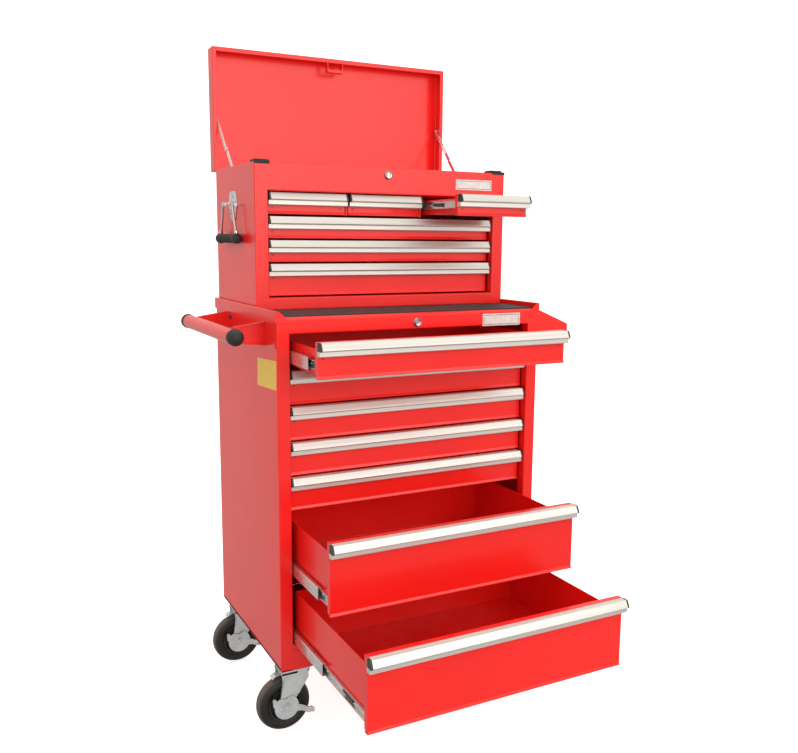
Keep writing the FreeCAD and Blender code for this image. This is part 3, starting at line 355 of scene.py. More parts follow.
def paint(name, deep, bright, worn, dust=0.12):
    """Gloss powder coat on thin sheet: a slight unevenness, smears, a little dust and rubbed edges."""
    finish = Finish(name, Coat_Weight=0.12, Coat_Roughness=0.08, IOR=1.45)
    cloud = finish.noise(3.1, 4.0)
    colour = finish.mixed(finish.ranged(cloud, 0.3, 0.7, 0.0, 1.0), deep, bright)
    rubbed = finish.product(finish.edges(0.0011), finish.ranged(finish.noise(42.0), 0.5, 0.64, 0.0, 0.75))
    colour = finish.mixed(rubbed, colour, worn)
    settled = finish.product(finish.upward(), finish.ranged(finish.noise(34.0, 5.0), 0.45, 0.85, 0.0, dust))
    colour = finish.mixed(settled, colour, (0.5, 0.3, 0.26))
    finish.set("Base Color", colour)
    smear = finish.noise(2.2, 0.0)
    finish.set("Roughness", finish.ranged(smear, 0.3, 0.7, 0.28, 0.31))
    finish.bump(finish.noise(55.0, 1.0), 0.04, 0.0002)
    return finish.material


def brushed(name, dark, light, rough, stretch, metallic=1.0, peel=0.1):
    """Drawn or brushed metal, with its grain along one direction."""
    finish = Finish(name, Metallic=metallic, Anisotropic=0.35)
    grain = finish.noise(6.0, 8.0, stretch=stretch, roughness=0.75)
    blotch = finish.noise(7.0, 3.0)
    colour = finish.mixed(finish.ranged(grain, 0.32, 0.68, 0.0, 1.0), dark, light)
    colour = finish.mixed(finish.ranged(blotch, 0.55, 0.8, 0.0, 0.3), colour, dark)
    finish.set("Base Color", colour)
    low, high = rough
    finish.set("Roughness", finish.ranged(grain, 0.3, 0.7, low, high))
    finish.bump(grain, peel, 0.00008)
    return finish.material


def plated(name, dark, light, rough):
    """Zinc plate: cloudy, slightly mottled, with brighter worn edges."""
    finish = Finish(name, Metallic=0.92)
    cloud = finish.noise(30.0, 6.0, roughness=0.65)
    cells = finish.node("TexVoronoi", {"Vector": finish.place, "Scale": 260.0}).outputs["Color"]
    mottle = finish.node("RGBToBW", {0: cells}).outputs[0]
    colour = finish.mixed(finish.ranged(cloud, 0.3, 0.7, 0.0, 1.0), dark, light)
    colour = finish.mixed(finish.ranged(mottle, 0.2, 0.8, 0.0, 0.1), colour, dark)
    worn = finish.product(finish.edges(0.0008), finish.ranged(finish.noise(70.0), 0.45, 0.6, 0.0, 0.6))
    colour = finish.mixed(worn, colour, (0.9, 0.9, 0.9))
    finish.set("Base Color", colour)
    low, high = rough
    finish.set("Roughness", finish.ranged(cloud, 0.3, 0.7, low, high))
    finish.bump(finish.noise(340.0, 4.0), 0.12, 0.0001)
    return finish.material


def moulded(name, dark, light, rough, grain=520.0, depth=0.3, dust=0.2):
    """Rubber or plastic with a fine moulded grain and a little grey dust."""
    finish = Finish(name, Specular_IOR_Level=0.4)
    cloud = finish.noise(24.0, 5.0)
    colour = finish.mixed(finish.ranged(cloud, 0.3, 0.7, 0.0, 1.0), dark, light)
    rubbed = finish.product(finish.edges(0.001), finish.ranged(finish.noise(60.0), 0.45, 0.65, 0.0, 0.5))
    colour = finish.mixed(rubbed, colour, (0.12, 0.115, 0.11))
    settled = finish.product(finish.upward(0.3), finish.ranged(finish.noise(48.0, 5.0), 0.4, 0.75, 0.0, dust))
    colour = finish.mixed(settled, colour, (0.3, 0.28, 0.26))
    finish.set("Base Color", colour)
    low, high = rough
    finish.set("Roughness", finish.ranged(cloud, 0.3, 0.7, low, high))
    finish.bump(finish.noise(grain, 2.0), depth, 0.0001)
    return finish.material


def tread(name):
    """Tyre rubber: near-black walls, and a running face painted lighter brown-grey as a painted sheen."""
    finish = Finish(name, Specular_IOR_Level=0.4)
    cloud = finish.noise(24.0, 5.0)
    wall = finish.mixed(finish.ranged(cloud, 0.3, 0.7, 0.0, 1.0), (0.006, 0.005, 0.005),
                        (0.016, 0.013, 0.012))
    normal = finish.tree.nodes["Texture Coordinate"].outputs["Normal"]
    sideways = finish.node("SeparateXYZ", {0: normal}).outputs["Y"]
    outward = finish.node("Math", {0: sideways}, operation="ABSOLUTE").outputs[0]
    # painted sheen: faces that look away from the axle are painted lighter brown-grey, standing in for the
    # sheen on the running face
    running = finish.ranged(outward, 0.75, 0.2, 0.0, 1.0)
    painted_tread_sheen = finish.product(running, finish.ranged(finish.noise(60.0, 5.0), 0.3, 0.7, 0.6, 0.95))
    finish.set("Base Color", finish.mixed(painted_tread_sheen, wall, (0.150, 0.120, 0.105)))
    finish.set("Roughness", finish.ranged(cloud, 0.3, 0.7, 0.42, 0.62))
    finish.bump(finish.noise(300.0, 2.0), 0.3, 0.0001)
    return finish.material


def printed(name, dark, light, rough):
    """A thin printed plate or foil: almost even, with handling marks."""
    finish = Finish(name, Metallic=0.0, Coat_Weight=0.25, Coat_Roughness=0.12)
    cloud = finish.noise(90.0, 5.0)
    finish.set("Base Color", finish.mixed(finish.ranged(cloud, 0.35, 0.7, 0.0, 1.0), dark, light))
    low, high = rough
    finish.set("Roughness", finish.ranged(cloud, 0.3, 0.7, low, high))
    finish.bump(finish.noise(900.0, 1.0), 0.05, 0.00005)
    return finish.material


RED = paint("red_gloss_paint", (0.80, 0.010, 0.007), (0.90, 0.014, 0.010), (0.55, 0.08, 0.06))
# painted light: a slightly lighter copy of the red paint for the inner parts that stand in shade, with a
# little more dust
RED_LIT_INSIDE = paint("red_paint_lit_inside", (0.84, 0.012, 0.010), (0.92, 0.018, 0.015), (0.5, 0.07, 0.05), 0.2)
GRIP = brushed("grip_aluminium", (0.56, 0.54, 0.51), (0.80, 0.77, 0.73), (0.42, 0.58), (0.5, 60, 60), 0.8)
STEEL = plated("slide_zinc", (0.60, 0.60, 0.60), (0.82, 0.82, 0.81), (0.2, 0.36))
CAST = plated("caster_zinc", (0.56, 0.60, 0.62), (0.76, 0.80, 0.82), (0.38, 0.56))
CHROME = brushed("bright_chrome", (0.50, 0.50, 0.50), (0.72, 0.72, 0.71), (0.14, 0.28), (8, 8, 8), peel=0.03)
BALLS = brushed("ball_steel", (0.7, 0.7, 0.7), (0.85, 0.85, 0.85), (0.1, 0.2), (20, 20, 20), peel=0.02)
RUBBER = moulded("black_rubber", (0.010, 0.010, 0.010), (0.028, 0.026, 0.025), (0.5, 0.75))
MAT = moulded("ribbed_mat", (0.012, 0.011, 0.011), (0.026, 0.023, 0.022), (0.42, 0.62), dust=0.15)
TYRE = tread("tyre_rubber")
PLASTIC = moulded("black_plastic", (0.014, 0.014, 0.015), (0.030, 0.029, 0.028), (0.32, 0.5), 900.0, 0.2,
                  0.15)
HUB = moulded("hub_plastic", (0.012, 0.011, 0.010), (0.030, 0.027, 0.025), (0.4, 0.58), 600.0, 0.25, 0.15)
BADGE = printed("badge_foil", (0.62, 0.62, 0.60), (0.78, 0.77, 0.74), (0.25, 0.4))
FRAME_INK = printed("badge_frame", (0.02, 0.02, 0.02), (0.05, 0.045, 0.045), (0.35, 0.5))
STICKER = printed("plain_sticker", (0.82, 0.50, 0.02), (0.90, 0.60, 0.04), (0.4, 0.55))


# ---------------------------------------------------------------- pieces


def piece(name, shape, body, material, stands_for=(), bevel=0.0, smooth=35):
    """Makes an object of a finished shape and lets it ride on a CAD body."""
    mesh = bpy.data.meshes.new(name)
    mesh.from_pydata([at(*p) for p in shape.points], [], shape.faces)
    edit = bmesh.new()
    edit.from_mesh(mesh)
    bmesh.ops.remove_doubles(edit, verts=edit.verts, dist=1e-7)
    bmesh.ops.recalc_face_normals(edit, faces=edit.faces)
    edit.to_mesh(mesh)
    edit.free()
    made = bpy.data.objects.new(name, mesh)
    bpy.context.scene.collection.objects.link(made)
    mesh.materials.append(material)
    for face in mesh.polygons:
        face.use_smooth = True
    if bevel:
        edge = made.modifiers.new("edge", "BEVEL")
        edge.width = bevel * MM
        edge.segments = 2
        edge.limit_method = "ANGLE"
        edge.angle_limit = math.radians(smooth)
        edge.harden_normals = True
    mesh.set_sharp_from_angle(angle=math.radians(smooth))
    flat = made.modifiers.new("flat_faces", "WEIGHTED_NORMAL")
    flat.mode = "FACE_AREA"
    flat.weight = 90
    flat.keep_sharp = True
    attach(made, body)
    if stands_for:
        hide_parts(*stands_for)
    return made


SHEET = 1.2
PAN_SHEET = 1.0
EDGE = 0.35          # width of the small round on a cut or moulded edge
BEND = 2.4           # outer radius of the folds in the bodies' sheet


def screw_head(shape, centre, axis, radius, proud, away=1):
    """A pan head with its driver recess, standing out along an axis."""
    profile = [(0, 0), (radius, 0), (radius, proud * 0.35), (radius * 0.82, proud * 0.85),
               (radius * 0.5, proud), (radius * 0.42, proud), (radius * 0.36, proud * 0.4), (0, proud * 0.4)]
    turned(shape, [(r, away * a) for r, a in profile], centre, axis, 20)


def rivet(shape, centre, axis, radius, proud, away=1):
    profile = [(0, 0), (radius, 0), (radius * 0.95, proud * 0.4), (radius * 0.6, proud * 0.85), (0, proud)]
    turned(shape, [(r, away * a) for r, a in profile], centre, axis, 16)


cab_low, cab_high = node_box("cabinet_frame")
HALF = cab_high.x
DEPTH = cab_high.y
BASE = cab_low.z
POST = 29
OPEN_LOW = 213
OPEN_HIGH = 924.5
top_low, top_high = node_box("cabinet_worktop")
RIM_TOP = top_high.z
WORKTOP = RIM_TOP - 13.5
RAIL_TOP = WORKTOP - 5
chest_low, chest_high = node_box("chest_body")
CHEST_HALF = chest_high.x
CHEST_FRONT = chest_low.y
CHEST_BACK = chest_high.y
CHEST_LOW = chest_low.z
CHEST_TOP = chest_high.z
CHEST_POST = 31.5
CHEST_OPEN_LOW = 991
CHEST_OPEN_HIGH = 1229


def key_hole(label):
    """The hole in a rail that a lock's plug turns in."""
    high = node_box("lock_plug_" + label)[1]
    return circle((0, high.z - high.x), high.x + 0.3, 28)


def back_panel(name, half, rear, low, high, ribs):
    """A flanged back with pressed ribs across it."""
    panel = Shape()
    inside = rear - SHEET
    folded(panel, [(-half + 2, inside - 9), (-half + 2, inside), (half - 2, inside), (half - 2, inside - 9)],
           -SHEET, BEND, "z", low, high)
    for height in ribs:
        swage(panel, 240, height, inside - 0.05, rear)
    piece(name, panel, "cabinet", RED, bevel=EDGE)


def shelf(shape, half, level, rim, start, end):
    """A floor sheet with its two ends folded up against the sides, as high as rim."""
    ends = half - SHEET
    folded(shape, [(-ends, rim), (-ends, level), (ends, level), (ends, rim)], SHEET, BEND, "y", start, end)


def cabinet_body():
    seam = RAIL_TOP - 8
    sides = Shape()
    folded(sides, [(-HALF + 14, DEPTH), (-HALF, DEPTH), (-HALF, 0), (-HALF + POST, 0), (-HALF + POST, 24)],
           SHEET, BEND, "z", BASE + 4, seam)
    folded(sides, [(-HALF + 20, BASE), (-HALF, BASE), (-HALF, BASE + 9)], -SHEET, 5, "y", 1.5, DEPTH - 1.5)
    prism(sides, rectangle(-HALF + 0.02, BASE + 4, -HALF + SHEET, WORKTOP - 2), "y", 6, DEPTH)
    sides.both_sides()
    piece("cabinet_sides", sides, "cabinet", RED, ["cabinet_frame"], EDGE)

    rails = Shape()
    span = HALF - POST + BEND
    folded(rails, [(24, OPEN_LOW), (0, OPEN_LOW), (0, BASE), (22, BASE)], SHEET, BEND, "x", -span, span)
    folded(rails, [(24, OPEN_HIGH), (0, OPEN_HIGH), (0, OPEN_HIGH + 5)], -SHEET, BEND, "x", -span, span)
    prism(rails, rectangle(-span, OPEN_HIGH + 5, span, seam), "y", 0, SHEET, [key_hole("cabinet")])
    piece("cabinet_rails", rails, "cabinet", RED, bevel=EDGE)

    corners = Shape()
    for height in (BASE, OPEN_LOW - 10):
        prism(corners, rounded([(-HALF + POST, height), (-HALF + POST + 26, height),
                                (-HALF + POST, height + 26)], 1.0), "y", SHEET, 2 * SHEET)
    corners.both_sides()
    piece("cabinet_corner_plates", corners, "cabinet", RED, bevel=EDGE)

    back_panel("cabinet_back", HALF, DEPTH, BASE + 1, WORKTOP - SHEET,
               [BASE + 120 + step * 185 for step in range(4)])

    floor = Shape()
    shelf(floor, HALF, BASE, BASE + 12, SHEET, DEPTH - 2 * SHEET)
    for start in (-326, 230):
        folded(floor, [(start, BASE + SHEET), (start, BASE + 25), (start + 96, BASE + 25),
                       (start + 96, BASE + SHEET)], -SHEET, BEND, "y", 3, DEPTH - 4)
    piece("cabinet_floor", floor, "cabinet", RED_LIT_INSIDE, bevel=EDGE)

    uprights = Shape()
    upright(uprights, HALF, POST, DEPTH - 60, BASE + 30, WORKTOP - 8)
    uprights.both_sides()
    piece("cabinet_uprights", uprights, "cabinet", RED_LIT_INSIDE, bevel=EDGE)


def swage(shape, half, height, start, end):
    """A long pressed rib on a back panel, with its ends tapered out."""
    ring = rounded(rectangle(-half, height - 7, half, height + 7), 6.5)
    inner = rounded(rectangle(-half + 5, height - 3, half - 5, height + 3), 2.9)
    bridged(shape, [[(p.x, start, p.y) for p in ring], [(p.x, end, p.y) for p in inner]])


def upright(shape, half, post, front, low, high):
    """A slotted rear upright on the left, which carries the slides' back ends."""
    folded(shape, [(-half + SHEET, front + 20), (-half + post, front + 20), (-half + post, front),
                   (-half + SHEET, front)], -SHEET, BEND, "z", low, high)
    holes = []
    height = low + 20
    while height < high - 12:
        holes.append(slot_hole((front + 9.5, height), 5, 4.9, 8))
        height += 26
    prism(shape, rectangle(front + 3, low + 2, front + 16, high - 2), "x", -half + post - 0.02,
          -half + post + 0.25, holes)


def worktop():
    top = Shape()
    folded(top, [(0, RAIL_TOP - 8), (0, RAIL_TOP), (5, WORKTOP), (DEPTH, WORKTOP)], -SHEET,
           [0, 2.2, 5, 0], "x", -HALF + 0.3, HALF - 0.3)
    rim_low = top_low.z
    rim_foot = WORKTOP + 0.2
    rim = Shape()
    folded(rim, [(-HALF - 3, rim_low), (-HALF - 3, RIM_TOP), (-HALF + 4, RIM_TOP), (-HALF + 4, rim_foot)],
           -SHEET, 2.6, "y", 0.6, DEPTH + 2.4)
    gusset = [(-HALF - 2.9, rim_low + 0.5), (-HALF - 2.9, RIM_TOP - 0.4), (-HALF + 4, RIM_TOP - 0.4),
              (-HALF + 25, RAIL_TOP), (-HALF + 25, RAIL_TOP - 7.8), (-HALF + 3, RAIL_TOP - 7.8)]
    prism(rim, rounded(gusset, [0.4, 1.5, 2.0, 2.0, 0.4, 0.4]), "y", -SHEET, 0)
    rim.both_sides()
    folded(rim, [(DEPTH + 3, rim_low), (DEPTH + 3, RIM_TOP), (DEPTH - 1, RIM_TOP), (DEPTH - 1, rim_foot)],
           SHEET, 1.8, "x", -HALF - 2.8, HALF + 2.8)
    piece("worktop_pan", top, "cabinet", RED, ["cabinet_worktop"], EDGE)
    piece("worktop_rims", rim, "cabinet", RED, bevel=0.3)

    ribs = Shape()
    base = WORKTOP + 2.1
    crown = WORKTOP + 3
    start = 6.5
    pitch = 5
    section = [(start, WORKTOP + 0.1), (start, base)]
    count = int((CHEST_FRONT + 20 - start) / pitch)
    for number in range(count):
        along = start + 0.8 + number * pitch
        section += [(along, base), (along + 0.5, crown), (along + 3.1, crown), (along + 3.6, base)]
    back = DEPTH - 2
    section += [(back, base), (back, WORKTOP + 0.1)]
    prism(ribs, section, "x", -HALF + 5, HALF - 5)
    piece("worktop_mat", ribs, "cabinet", MAT, ["rubber_parts"], smooth=30)


def chest_shell():
    sides = Shape()
    half = CHEST_HALF
    front = CHEST_FRONT
    post = CHEST_POST
    folded(sides, [(-half + 14, CHEST_BACK), (-half, CHEST_BACK), (-half, front), (-half + post, front),
                   (-half + post, front + 20)], SHEET, BEND, "z", CHEST_LOW, CHEST_TOP)
    hem_top = CHEST_TOP - 0.25
    folded(sides, [(-half + 0.25, CHEST_TOP - 10), (-half + 0.25, hem_top), (-half + 4, hem_top),
                   (-half + 4, CHEST_TOP - 9)], -0.9, 1.0, "y", front + 42, CHEST_BACK - 14)
    sides.both_sides()
    piece("chest_sides", sides, "cabinet", RED, ["chest_body"], EDGE)

    rails = Shape()
    span = half - post + BEND
    folded(rails, [(front + 20, CHEST_OPEN_LOW), (front, CHEST_OPEN_LOW), (front, CHEST_LOW),
                   (front + 16, CHEST_LOW)], SHEET, BEND, "x", -span, span)
    folded(rails, [(front + 20, CHEST_OPEN_HIGH), (front, CHEST_OPEN_HIGH), (front, CHEST_OPEN_HIGH + 6)],
           -SHEET, BEND, "x", -span, span)
    folded(rails, [(front, CHEST_TOP - 6), (front, CHEST_TOP), (front + 9, CHEST_TOP),
                   (front + 9, CHEST_TOP - 7)], -SHEET, 1.6, "x", -span, span)
    prism(rails, rectangle(-span, CHEST_OPEN_HIGH + 6, span, CHEST_TOP - 6), "y", front, front + SHEET,
          [key_hole("chest")])
    piece("chest_rails", rails, "cabinet", RED, bevel=EDGE)

    back_panel("chest_back", half, CHEST_BACK, CHEST_LOW, CHEST_TOP, (CHEST_LOW + 90, CHEST_LOW + 215))

    inside = Shape()
    floor_back = CHEST_BACK - 2 * SHEET
    shelf(inside, half, CHEST_OPEN_HIGH, CHEST_OPEN_HIGH + 12, front + 20, floor_back)
    shelf(inside, half, CHEST_LOW + 0.1, CHEST_LOW + 12, front + SHEET, floor_back)
    flange = 3.2
    for side in (-1, 1):
        middle = side * 98.75
        folded(inside, [(middle + flange, front + 24.2), (middle, front + 24.2), (middle, CHEST_BACK - 8),
                        (middle + flange, CHEST_BACK - 8)], 0.6, 1.2, "z", 1177, CHEST_OPEN_HIGH - 0.2)
    piece("chest_inside", inside, "cabinet", RED_LIT_INSIDE, bevel=0.25)

    uprights = Shape()
    upright(uprights, half, post, CHEST_BACK - 45, CHEST_LOW + 3, CHEST_OPEN_HIGH - 1)
    uprights.both_sides()
    piece("chest_uprights", uprights, "cabinet", RED_LIT_INSIDE, bevel=EDGE)

    bumpers = Shape()
    start = front + 7
    for side in (-1, 1):
        low = sorted((side * (half - 3), side * (half - 37)))
        block(bumpers, (low[0], start, CHEST_TOP), (low[1], start + 31, CHEST_TOP + 5.4))
        for number in range(7):
            along = low[0] + 2 + number * 4.6
            block(bumpers, (along, start + 1, CHEST_TOP + 5.3), (along + 2.6, start + 30, CHEST_TOP + 7))
        lip = side * half
        across = sorted((lip, lip - side * 36))
        block(bumpers, (across[0], front - 1.2, CHEST_TOP - 4), (across[1], front, CHEST_TOP + 1.5))
        block(bumpers, (across[0], front - 1.2, CHEST_TOP), (across[1], start + 0.2, CHEST_TOP + 2.6))
    piece("chest_bumpers", bumpers, "cabinet", RUBBER, bevel=0.5)


def lid_piece():
    low, high = node_box("lid")
    base = low.z + SHEET
    hem = 9
    bend = 2.6
    depth = high.y - low.y - 2
    mouth = high.y - depth
    inner = [(0.5 + u, w) for u, w in fold_arc(SHEET + bend, bend)]
    rim = [(SHEET + 0.5, depth - 3), (SHEET + 1.2, depth - SHEET - 0.4), (SHEET + hem, depth - SHEET),
           (SHEET + hem + 0.4, depth - 0.6), (SHEET + hem, depth - 0.1), (2.2, depth), (0.8, depth - 0.5),
           (0, depth - 2)]
    outside = 3.4
    outer = [(v, u) for u, v in fold_arc(outside, outside)]
    shell = Shape()
    vessel(shell, (low.x, base), (high.x, high.z), inner + rim + outer,
           lambda u, v, w: (u, high.y - w, v), 3.0)
    piece("lid_shell", shell, "lid", RED, ["lid"], smooth=40)

    catch = Shape()
    top = high.z - SHEET
    cheek = rounded([(mouth + 1, top - 34), (mouth + 15, top - 34), (mouth + 18, top - 24), (mouth + 18, top),
                     (mouth + 1, top)], [3, 6, 2, 0, 0])
    for side in (-1, 1):
        across = sorted((side * 20, side * (20 + 1.6)))
        prism(catch, cheek, "x", *across, holes=[slot_hole((mouth + 8, top - 24), 6, 5, 12)])
    folded(catch, [(mouth + 14, top - 34), (mouth + 2, top - 34), (mouth + 2, top - 26)],
           -1.6, 2, "x", -20, 20)
    for side in (-1, 1):
        across = sorted((side * 21.6, side * 32))
        block(catch, (across[0], mouth + 4, top - 1.4), (across[1], mouth + 16, top))
    piece("lid_catch", catch, "lid", RED, bevel=0.3)

    leaf = Shape()
    start = high.y - depth - 2
    block(leaf, (low.x + 12, start + 0.8, low.z), (high.x - 12, high.y - 14, low.z + 1.0))
    for number in range(10):
        rivet(leaf, (low.x + 40 + number * 64, start + 16, low.z), "z", 2.6, 1.0, -1)
    piece("lid_hinge_leaf", leaf, "lid", STEEL, bevel=0.2)


def fittings():
    """Hinge on the chest, and lock housings on the chest and the cabinet."""
    hinge_y = CHEST_BACK + 3
    hinge_z = CHEST_TOP - 3.5
    hinge = Shape()
    block(hinge, (-CHEST_HALF + 12, CHEST_BACK, CHEST_TOP - 26), (CHEST_HALF - 12, CHEST_BACK + 1, hinge_z))
    for number in range(21):
        start = -CHEST_HALF + 14 + number * 30
        profile = [(2.1, 0), (2.6, 0.5), (2.6, 27.5), (2.1, 28)]
        turned(hinge, profile, (start, hinge_y, hinge_z), "x", 16)
    for number in range(10):
        rivet(hinge, (-CHEST_HALF + 40 + number * 64, CHEST_BACK + 1, CHEST_TOP - 16), "y", 2.8, 1.2)
    piece("lid_hinge", hinge, "cabinet", STEEL, ["chest_fittings"], smooth=40)

    for label in ("chest", "cabinet"):
        plug_low, plug_high = node_box("lock_plug_" + label)
        front = CHEST_FRONT if label == "chest" else 0
        centre = (0, 0, plug_high.z - plug_high.x)
        ring = Shape()
        outer = plug_high.x + 3.0
        bore = plug_high.x + 1.0
        hollow_turned(ring, [(bore, front - 3.4), (outer - 1.4, front - 4), (outer - 0.6, front - 3.2),
                             (outer, front - 1.4), (outer, front), (bore, front)], centre, "y", 48)
        piece(f"lock_{label}_bezel", ring, "cabinet", CHROME, smooth=40)
        liner = Shape()
        hollow_turned(liner, [(plug_high.x + 0.2, front - 1.2), (bore - 0.05, front - 1.2),
                              (bore - 0.05, front - 0.1), (plug_high.x + 0.2, front - 0.1)], centre, "y", 40)
        piece(f"lock_{label}_liner", liner, "cabinet", PLASTIC, smooth=40)
        plug = Shape()
        face = plug_low.y
        profile = [(0, face + 1.4), (2.2, face + 1.4), (2.3, face + 0.2), (2.9, face + 0.2),
                   (3.0, face + 3.4), (5.2, face + 3.4), (5.3, face + 0.2), (6.9, face),
                   (plug_high.x, face + 0.6), (plug_high.x, front + 17), (5.0, front + 17),
                   (5.0, front + 19), (0, front + 19)]
        turned(plug, profile, centre, "y", 40)
        cam = [(-5, centre[2] + 5), (-5, centre[2] - 12), (5, centre[2] - 12), (5, centre[2] + 5)]
        prism(plug, rounded(cam, 2.5), "y", front + 17, front + 18.6)
        block(plug, (-0.9, face, centre[2] + 4.5), (0.9, face + 0.7, centre[2] + 6.4))
        piece(f"lock_{label}_plug", plug, "lock_" + label, CHROME, ["lock_plug_" + label], smooth=40)


def bails():
    """Plates with rolled ears, and hanging bails with moulded grips."""
    for label, side in (("left", -1), ("right", 1)):
        low, high = node_box("bail_handle_" + label)
        pivot_z = high.z - 3.2
        middle = (low.y + high.y) / 2
        grip_x = (low.x + high.x) / 2
        bulb = abs(low.x - high.x) / 2
        grip_z = low.z + bulb
        wall = side * CHEST_HALF
        plate = Shape()
        bell = [(-27, 30), (27, 30), (31, 7), (34, 5), (34, -6), (26, -9), (17, -38), (-17, -38), (-26, -9),
                (-34, -6), (-34, 5), (-31, 7)]
        outline = rounded([(middle + u, pivot_z + v) for u, v in bell],
                          [24, 24, 4, 3, 4, 5, 9, 9, 5, 4, 3, 4])
        across = sorted((wall, wall + side * 1.8))
        prism(plate, outline, "x", *across)
        for u in (-29, 29):
            start = middle + u - 5
            hollow_turned(plate, [(3.6, start), (4.8, start), (5.2, start + 0.6), (5.2, start + 9.4),
                                  (4.8, start + 10), (3.6, start + 10)], (grip_x, 0, pivot_z), "y", 24)
            near = sorted((wall + side * 1.0, grip_x))
            web = [(near[0], pivot_z + 3.0), (near[1], pivot_z + 5.1), (near[1], pivot_z + 3.8),
                   (near[0], pivot_z - 1.5)]
            prism(plate, rounded(web, 0.4), "y", start + 0.2, start + 9.8)
        for u, v in ((0, 19), (-9, -28), (9, -28), (0, -6)):
            rivet(plate, (wall + side * 1.8, middle + u, pivot_z + v), "x", 4.0, 2.0, side)
        piece(f"bail_plate_{label}", plate, "cabinet", CHROME, bevel=0.35)

        wire = Shape()
        route = [(grip_x, middle - 23, pivot_z), (grip_x, middle - 38, pivot_z),
                 (grip_x, middle - 60, grip_z + 14), (grip_x, middle - 63, grip_z + 1)]
        for flip in (1, -1):
            path = [(x, middle + flip * (y - middle), z) for x, y, z in rounded(route, [0, 6, 10, 0], False)]
            rod(wire, path, 3.0)
            foot = Vector(path[-1])
            turned(wire, [(3.2, 10), (4.6, 10.6), (5.0, 12), (5.0, 17), (4.4, 18.4), (3.1, 19)],
                   (foot.x, foot.y - flip * 0.4, foot.z - 1), "z", 20)
        piece(f"bail_wire_{label}", wire, "bail_" + label, CHROME, smooth=40)

        grip = Shape()
        half = (high.y - low.y) / 2
        profile = [(0.01, -half), (7, -half + 0.6), (11.5, -half + 3.2), (bulb - 0.3, -half + 8),
                   (bulb, -half + 14), (bulb - 1.4, -half + 21), (bulb - 2.6, -half + 26)]
        for number in range(17):
            along = -half + 27 + number * (2 * half - 54) / 16
            profile += [(bulb - 2.9, along - 1.8), (bulb - 2.2, along - 1.0), (bulb - 2.2, along + 1.0),
                        (bulb - 2.9, along + 1.8)]
        profile += [(r, -a) for r, a in reversed(profile[:7])]
        turned(grip, profile, (grip_x, middle, grip_z), "y", 36)
        piece(f"bail_grip_{label}", grip, "bail_" + label, RUBBER, ["bail_handle_" + label], smooth=30)


def stays():
    """Flat folding bars with riveted pivots, from the CAD bars' own boxes."""
    low, high = node_box("lid_stay_lower_bars")
    up_high = node_box("lid_stay_upper_bars")[1]
    width = 11
    radius = width / 2
    pad = radius
    chest = (low.y + pad, low.z + pad)
    elbow = (high.y - pad, high.z - pad)
    lid_pin = (up_high.y - pad, up_high.z - pad)
    inner = 314
    for name, body, start, end, plane in (
            ("stay_lower", "stay_lower", chest, elbow, inner),
            ("stay_upper", "stay_upper", lid_pin, elbow, inner + 2)):
        bar = Shape()
        start_v, end_v = Vector(start), Vector(end)
        way = (end_v - start_v).normalized()
        side = Vector((-way.y, way.x))
        outline = []
        for centre, turn in ((start_v, math.pi), (end_v, 0)):
            for step in range(9):
                angle = turn - math.pi / 2 + math.pi * step / 8
                outline.append(centre + way * (radius * math.cos(angle)) + side * (radius * math.sin(angle)))
        slot_mid = (start_v + end_v) / 2
        slot = []
        for sign_a in (1, -1):
            for step in range(7):
                angle = (0 if sign_a > 0 else math.pi) - math.pi / 2 + math.pi * step / 6
                slot.append(slot_mid + way * (sign_a * 28 + 1.8 * math.cos(angle))
                            + side * (1.8 * math.sin(angle)))
        holes = [slot] if name == "stay_upper" else []
        prism(bar, outline, "x", plane, plane + 1.6, holes)
        rivet(bar, (plane, end[0], end[1]), "x", 4.2, 1.8, -1)
        rivet(bar, (plane, start[0], start[1]), "x", 4.2, 1.8, -1)
        boss_end = CHEST_HALF - SHEET - 0.3
        turned(bar, [(4.4, plane + 1.5), (4.4, boss_end - 2), (6.0, boss_end - 1.6), (6.0, boss_end)],
               (0, start[0], start[1]), "x", 20)
        bar.both_sides()
        piece(name + "_bars", bar, body, STEEL, [f"lid_stay_{name[5:]}_bars"], bevel=0.25)


